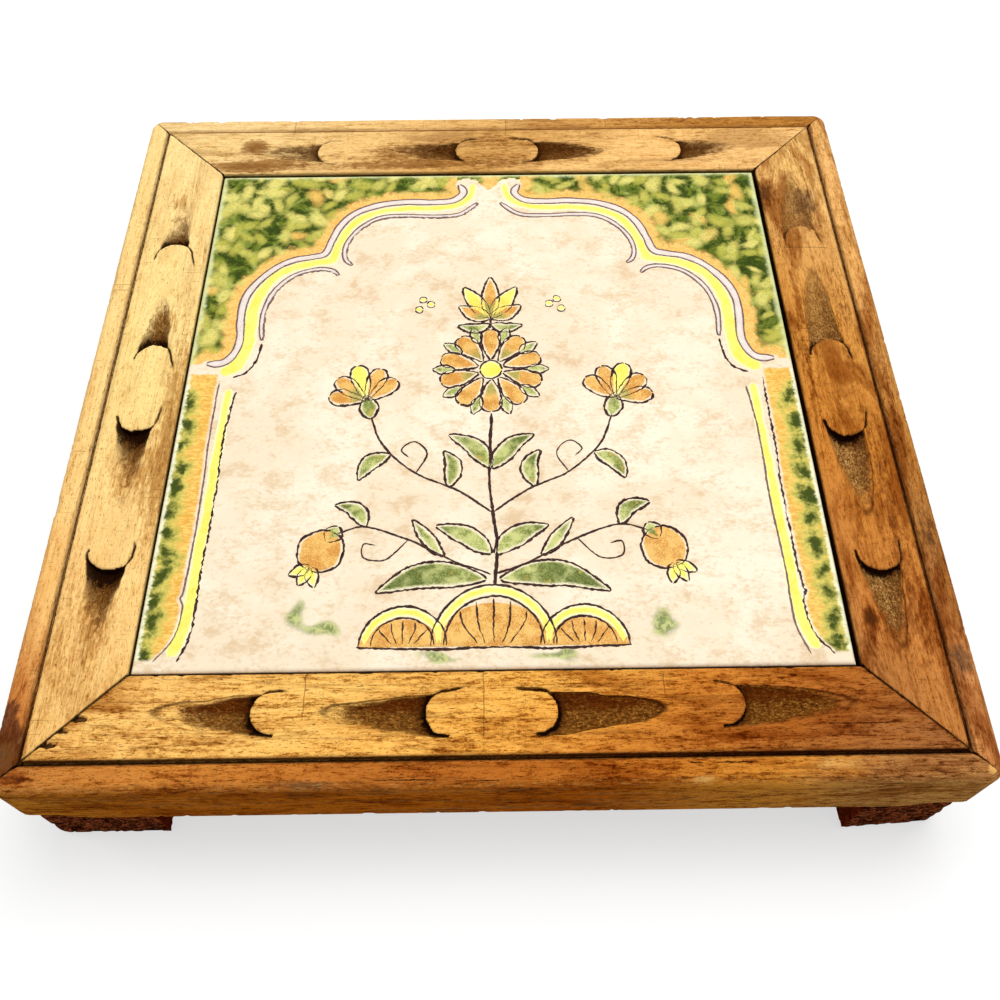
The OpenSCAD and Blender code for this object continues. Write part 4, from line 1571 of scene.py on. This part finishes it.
# %% [markdown]
# The border is a cusped arch of the kind painted on garden tiles for centuries. It has two pale tubes
# with a strip of yellow between them, which swell out at the cusps and end in hooks, and it stands on
# two yellow pillars. The right half is drawn, and the left is its mirror image with its own tremor.
# A slip trailer spits on some strokes, so some of the dark lines are beaded and the rest are plain.

# %% Draw the border
beaded = 0.75
plain = 0.25
for sign in (-1, 1):
    seed = 1000 + 100 * sign
    on_left = sign < 0
    lay_strip(flip(upper_yellow, sign), 1.3, 1.6, seed + 24)
    lay_strip(flip(lower_yellow, sign), 1.6, 2.2, seed + 26)
    lay_strip(flip(side_yellow, sign), 1.35, 1.75, seed + 28)
    inner_beads = (beaded, plain) if on_left else (plain, plain)
    lay_tube(flip(outer_tube + lower_tube[1:], sign), 1.0, seed)
    lay_tube(flip(upper_inner, sign), 0.6, seed + 12, inner_beads)
    lay_tube(flip(lower_inner, sign), 0.6, seed + 18, inner_beads)
    lay_line(flip(last_inner, sign), 0.7, 0.9, seed + 30, 0.5)
    lay_line(flip(side_outline, sign), 0.45, 0.35 if on_left else 0.7, seed + 33,
             plain if on_left else beaded)
    lay_line(flip(side_inner, sign), 0.5, 0.8 if on_left else 0.35, seed + 36,
             beaded if on_left else plain)
print("marks so far:", {kind: len(marks) for kind, marks in glaze_marks.items()})

# %% [markdown]
# Inside the arch stands a flowering plant, drawn for this tile from the stock of garden ornament: three
# scalloped hills, one stem, a large rosette, a fan of slim petals on top, a carnation on either side
# and a hanging fruit below each. It is symmetrical, with a little tremor in every line.

# %% Draw the hills
hill_foot = -71.2
hills = ((-19.5, 9.5, 9.5, 2000), (19.5, 9.5, 9.5, 2020), (0, 13.5, 14.5, 2040))


def arch_of(middle, half_wide, tall, steps=17):
    """Points over half an oval, from left to right"""
    angle = np.linspace(math.pi, 0, steps)
    return [(middle + half_wide * math.cos(a), hill_foot + tall * math.sin(a)) for a in angle]


def hill_rib(middle, half_wide, tall, number):
    """One of the lines that fan out inside a hill"""
    lean = number * half_wide * 0.27
    share = math.sqrt(max(1 - (lean / (half_wide - 2.6)) ** 2, 0.05))
    return [(middle + lean * 0.45, hill_foot + 0.4), (middle + lean * 0.9, hill_foot + tall * 0.35),
            (middle + lean, hill_foot + (tall - 3.2) * share)]


for middle, half_wide, tall, seed in hills:
    base = smooth([(middle + side * half_wide, hill_foot) for side in (-1, 0, 1)], strip_pitch)
    oval = np.sqrt(1 - np.linspace(-1, 1, len(base)) ** 2)
    lay_blade("orange", base, 0.76 * tall * oval, 0.5 * oval, 0.12, 0.6, 21)
    lay_strip(arch_of(middle, half_wide - 1.3, tall - 1.3), 1.2, 1.2, seed)
    lay_line(arch_of(middle, half_wide, tall), 0.62, 1.0, seed + 3, 0.4)
    lay_line(arch_of(middle, half_wide - 2.7, tall - 2.7), 0.55, 1.0, seed + 6, 0.4)
    for number in range(-2, 3):
        lay_line(hill_rib(middle, half_wide, tall, number), 0.5, 1.0, seed + 9 + number, 0.5)
lay_line([(-29.5, -71.2), (-12, -71.8), (0, -71.4), (12, -71.8), (29.5, -71.2)], 0.7, 1.0, 2060, 0.4)
print("hills:", len(hills))

# %% Draw the stems and the tendrils
lay_line([(0.2, -56.8), (0.9, -46), (-0.6, -30), (0, -9.5)], 0.85, 1.0, 2063)
lay_line([(0, 17.5), (0.1, 22)], 0.8, 1.0, 2066)
side_stems = [([(0.2, -38), (8, -32), (18, -27), (26, -19), (29.5, -10)], 0.6),
              ([(0.4, -54), (9, -50.5), (19, -45), (29, -41.5), (36, -43.5)], 0.6),
              ([(18, -27), (15.5, -21.5), (18.5, -18), (21.6, -20.2), (19.8, -22.6)], 0.45),
              ([(19, -45), (24, -50), (29, -49.5), (29.2, -46), (26.4, -46.4)], 0.45)]
for sign in (-1, 1):
    for number, (points, width) in enumerate(side_stems):
        lay_line(flip(points, sign), width, 1.0, 2100 + 50 * sign + 3 * number)
print("side stems and tendrils:", 2 * len(side_stems))

# %% Draw the rosette and the fan on top
rosette_middle = (0, 4)
fan_foot = (0, 21.0)
fan_petals = ((-66, 9, "orange"), (66, 9, "orange"), (-34, 12.5, "yellow"), (34, 12.5, "yellow"),
              (0, 14, "orange"))


def ray(start, degrees, *reaches):
    """Points that lie in one direction from a start, at each of the distances"""
    turn = np.array([math.cos(math.radians(degrees)), math.sin(math.radians(degrees))])
    return [tuple(turn * reach + start) for reach in reaches]


for number in range(10):
    lay_leaf("green", ray(rosette_middle, 36 * number + 108, 9.0, 14.8), 1.5, "leaf", 0.2,
             2200 + number, 0.5)
for number in range(10):
    lay_leaf("orange", ray(rosette_middle, 36 * number + 90, 3.2, 8, 13.2), 3.2, "petal", number % 2,
             2220 + 9 * number)
lay_leaf("yellow", [(-2.8, 4), (0, 4), (2.8, 4)], 2.8, "round", 0.0, 2330)
for lean, length, colour in fan_petals:
    start, middle, tip = ray(fan_foot, 90 - lean, 0, 0.5 * length, length)
    lay_leaf(colour, [start, middle, (tip[0], tip[1] + 0.8)], 2.4, "leaf", 1.0, 2340 + lean)
print("petals of the fan:", len(fan_petals))

# %% Draw the carnations, the fruits and the leaves
leaves = [([(0.4, -49), (6, -44), (13, -41.5)], 2.6, 0.3),
          ([(0, -26), (4.5, -19.5), (10.5, -16)], 2.4, 0.6),
          ([(1.5, -55.5), (9, -54.0), (17, -54.5), (26, -58.5)], 3.2, 1.0),
          ([(24.4, -21.5), (29, -24), (31.5, -29)], 2.2, 0.3),
          ([(10, -31), (9, -25), (11.5, -20.5)], 2.0, 0.6),
          ([(11, -49.4), (13.5, -46.6), (18.5, -39.5)], 1.6, 0.3),
          ([(0.2, 19), (4, 17.6), (8.5, 18.6)], 1.6, 0.6),
          ([(29, -41.5), (31.5, -37), (36.5, -35.5)], 2.0, 0.6)]
dots = ((15.5, 26), (18.6, 24.4), (17.6, 27.8))


def draw_side(sign):
    """The flower, the fruit, the leaves and the three dots of one side"""
    seed = 2500 + 200 * sign
    for number, lean in enumerate((-64, 64, -32, 32, 0)):
        petal = ray((30.6, -5.5), 74 - lean, 0, 5.5, 11.5 - abs(lean) * 0.03)
        colour = "orange" if number < 4 else "yellow"
        lay_leaf(colour, flip(petal, sign), 2.9, "petal", number % 2, seed + 9 * number)
    lay_leaf("green", flip([(29.3, -11), (30.2, -7.5), (31, -3.6)], sign), 2.3, "leaf", 0.4, seed + 50)
    fruit = flip([(36.6, -42.6), (38.8, -47.6), (41, -52.6)], sign)
    lay_leaf("orange", fruit, 5.4, "round", 0.5, seed + 60)
    for number, lean in enumerate((-38, 38, 0)):
        tip = ray((40.6, -51.6), lean - 63, 0, 5.4)
        lay_leaf("yellow", flip(tip, sign), 1.4, "leaf", 0.0, seed + 70 + 9 * number)
    cap = flip([(35.2, -41.2), (36.4, -43.6), (37.6, -45.6)], sign)
    lay_leaf("green", cap, 2.2, "leaf", 0.4, seed + 100)
    for number, (points, wide, tone) in enumerate(leaves):
        lay_leaf("green", flip(points, sign), wide, "leaf", tone, seed + 110 + 9 * number)
    for number, (x, y) in enumerate(dots):
        dot = flip([(x - 1.1, y), (x + 1.1, y)], sign)
        lay_leaf("yellow", dot, 1.1, "round", 0.0, seed + 190 + number, 0.4)


draw_side(-1)
draw_side(1)
print("marks:", {kind: len(marks) for kind, marks in glaze_marks.items()})

# %% [markdown]
# Five glazes fill the drawing. The dark line is dry and grainy, purple-brown and nearly black in the
# plant, greyer in the border. Orange and green were dabbed on thin, so they are stippled and leave a
# pale rim inside the outline. The yellow is thick, bright and glossy, and pales towards its edges.

# %% What every glaze has
# Colours of the rim, the body and its stipple; inset where the body starts, and is full; grain; gloss
glazes = {
    "outline": ((110, 74, 64), (62, 28, 24), (38, 12, 10), 0.02, 0.12, 0.2, 0.4),
    "orange": ((250, 234, 200), (241, 192, 106), (213, 147, 62), 0.40, 1.0, 0.7, 0.22),
    "green": ((247, 236, 200), (204, 206, 130), (146, 158, 72), 0.30, 1.15, 0.7, 0.22),
    "yellow": ((253, 247, 206), (250, 242, 124), (248, 232, 92), 0.12, 0.95, 0.5, 0.12),
    "white": ((208, 190, 186), (240, 228, 218), (230, 216, 206), 0.1, 0.45, 0.3, 0.2),
}


def mix_glaze(kind, rim, body, deep, edge_start, edge_end, grainy, gloss):
    """A raised glaze: a rim colour at the edge, then a body colour stippled with a deeper one"""
    finish = Finish(kind + "_glaze", {"IOR": 1.5, "Roughness": gloss})
    flat = read(finish, "flat")
    glaze = SimpleNamespace(finish=finish)
    glaze.inset, glaze.share, glaze.tone = split(read(finish, "glaze"))
    glaze.grit = noise(flat, (2.2, 2.2, 0), 2.0, 0.6, 5.0)
    glaze.fine = noise(flat, (4.5, 4.5, 0), 2.0, 0.6, 15.0)
    glaze.cloud = noise(flat, (0.35, 0.35, 0), 2.0, 0.5, 25.0)
    glaze.inner = step(glaze.inset + swing(glaze.grit, grainy), edge_start, edge_end)
    stippled = two_tone(glaze.fine + swing(glaze.cloud, 0.8), 0.44, 0.60, body, deep)
    glaze.colour = blend(glaze.inner, rim, stippled)
    return glaze


mixed = {kind: mix_glaze(kind, *settings) for kind, settings in glazes.items()}
print("glazes mixed:", list(mixed))

# %% What each glaze has of its own
def shade_petals(glaze):
    """Green at the foot of the petals with a high tone"""
    shade = step(glaze.tone, 0.7, 1.0) * step(glaze.share + swing(glaze.cloud, 0.5), 0.55, 0.25)
    green_shade = two_tone(glaze.fine, 0.42, 0.6, (170, 176, 92), (120, 134, 56))
    return coats(glaze.colour, (shade * glaze.inner * 0.75, green_shade))


def darken_leaves(glaze):
    """Dark green towards the tip, and a little ochre where the cloud is thick"""
    dark = step(glaze.share * 0.6 + (glaze.cloud - 0.3) + glaze.tone * 0.35, 0.45, 1.0) * glaze.inner
    dark_green = two_tone(glaze.fine, 0.42, 0.6, (98, 116, 40), (54, 72, 18))
    ochre = step(glaze.cloud, 0.60, 0.72) * glaze.inner
    return coats(glaze.colour, (dark * 0.85, dark_green), (ochre * 0.5, (232, 196, 100)))


def warm_yellow(glaze):
    """Orange at the foot of the yellow petals with a high tone"""
    warmer = step(glaze.tone, 0.5, 1.0) * step(glaze.share, 0.75, 0.3) * step(glaze.fine, 0.4, 0.6)
    return coats(glaze.colour, (warmer * 0.7, (240, 176, 76)))


def fade_lines(glaze):
    """Greyer where the tone is low, with pale grains"""
    faded = step(glaze.tone + swing(glaze.cloud, 0.5), 0.75, 0.3)
    grey_line = two_tone(glaze.fine, 0.4, 0.62, (160, 128, 120), (104, 70, 66))
    grains = step(glaze.fine, 0.64, 0.72)
    return coats(glaze.colour, (faded * 0.8, grey_line), (grains * 0.7, (216, 188, 164)))


own_coats = {"outline": fade_lines, "orange": shade_petals, "green": darken_leaves,
             "yellow": warm_yellow}
reliefs = {
    "outline": (mixed["outline"].fine + mixed["outline"].grit, 0.08),
    "orange": (mixed["orange"].fine * 0.6, 0.05),
    "green": (mixed["green"].fine * 0.5, 0.05),
    "yellow": (mixed["yellow"].grit * 0.3, 0.05),
    "white": (mixed["white"].grit * 0.4, 0.05),
}
for kind, glaze in mixed.items():
    colour = own_coats[kind](glaze) if kind in own_coats else glaze.colour
    glaze.finish.feed("Base Color", colour)
    bump(glaze.finish, *reliefs[kind])
print("glazes with coats of their own:", list(own_coats))

# %% Lay the glaze on the tile
for kind, marks in glaze_marks.items():
    starts = np.cumsum([0] + [len(points) for points, quads, numbers in marks])
    points = np.concatenate([mark[0] for mark in marks])
    quads = np.concatenate([mark[1] + start for mark, start in zip(marks, starts)])
    numbers = {"glaze": np.concatenate([mark[2] for mark in marks]), "flat": points}
    material = mixed[kind].finish.material
    piece = make_piece(kind + "_marks", points + tile_offset, quads, [], numbers, material)
    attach(piece, "root")

# %% [markdown]
# Under the tile the frame's own solids are right as they are: a hardboard panel, dabs of adhesive, and
# steel nails and brads. They only need finishes of their own. The steel is dull and speckled with rust.

# %% Finish the board, the adhesive and the nails
def mix_plain(name, plain, colours, sizes, gloss, depth):
    """A two-colour clouded finish, speckled with a third, for the pieces that keep their own solids"""
    finish = Finish(name, plain)
    where = finish.node("ShaderNodeTexCoord", {}, {}, "Object")
    cloud_waves, grit_waves = [(size / MM,) * 3 for size in sizes]
    cloud = noise(where, cloud_waves, 3.0, 0.6, 3.0)
    grit = noise(where, grit_waves, 3.0, 0.65, 9.0)
    colour = two_tone(cloud, 0.38, 0.62, colours[0], colours[1])
    finish.feed("Base Color", blend(step(grit, 0.56, 0.70) * 0.6, colour, colours[2]))
    finish.feed("Roughness", gloss + grit * 0.25)
    bump(finish, grit, depth)
    return finish.material


board_colours = ((122, 84, 50), (104, 70, 42), (70, 44, 26))
adhesive_colours = ((214, 208, 196), (196, 190, 178), (170, 162, 150))
steel_colours = ((150, 148, 146), (120, 116, 112), (120, 66, 36))
steel = mix_plain("nail_steel", {"Metallic": 1.0}, steel_colours, (0.4, 1.5), 0.35, 0.05)
hidden = {
    "backing_board": mix_plain("hardboard_brown", {}, board_colours, (0.05, 1.6), 0.6, 0.15),
    "tile_adhesive": mix_plain("adhesive_grey", {}, adhesive_colours, (0.08, 0.9), 0.75, 0.2),
    "foot_nails": steel, "mitre_nails": steel, "board_brads": steel,
}
for name, material in hidden.items():
    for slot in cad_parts[name].material_slots:
        slot.material = material
        print(name, "wears", slot.material.name)
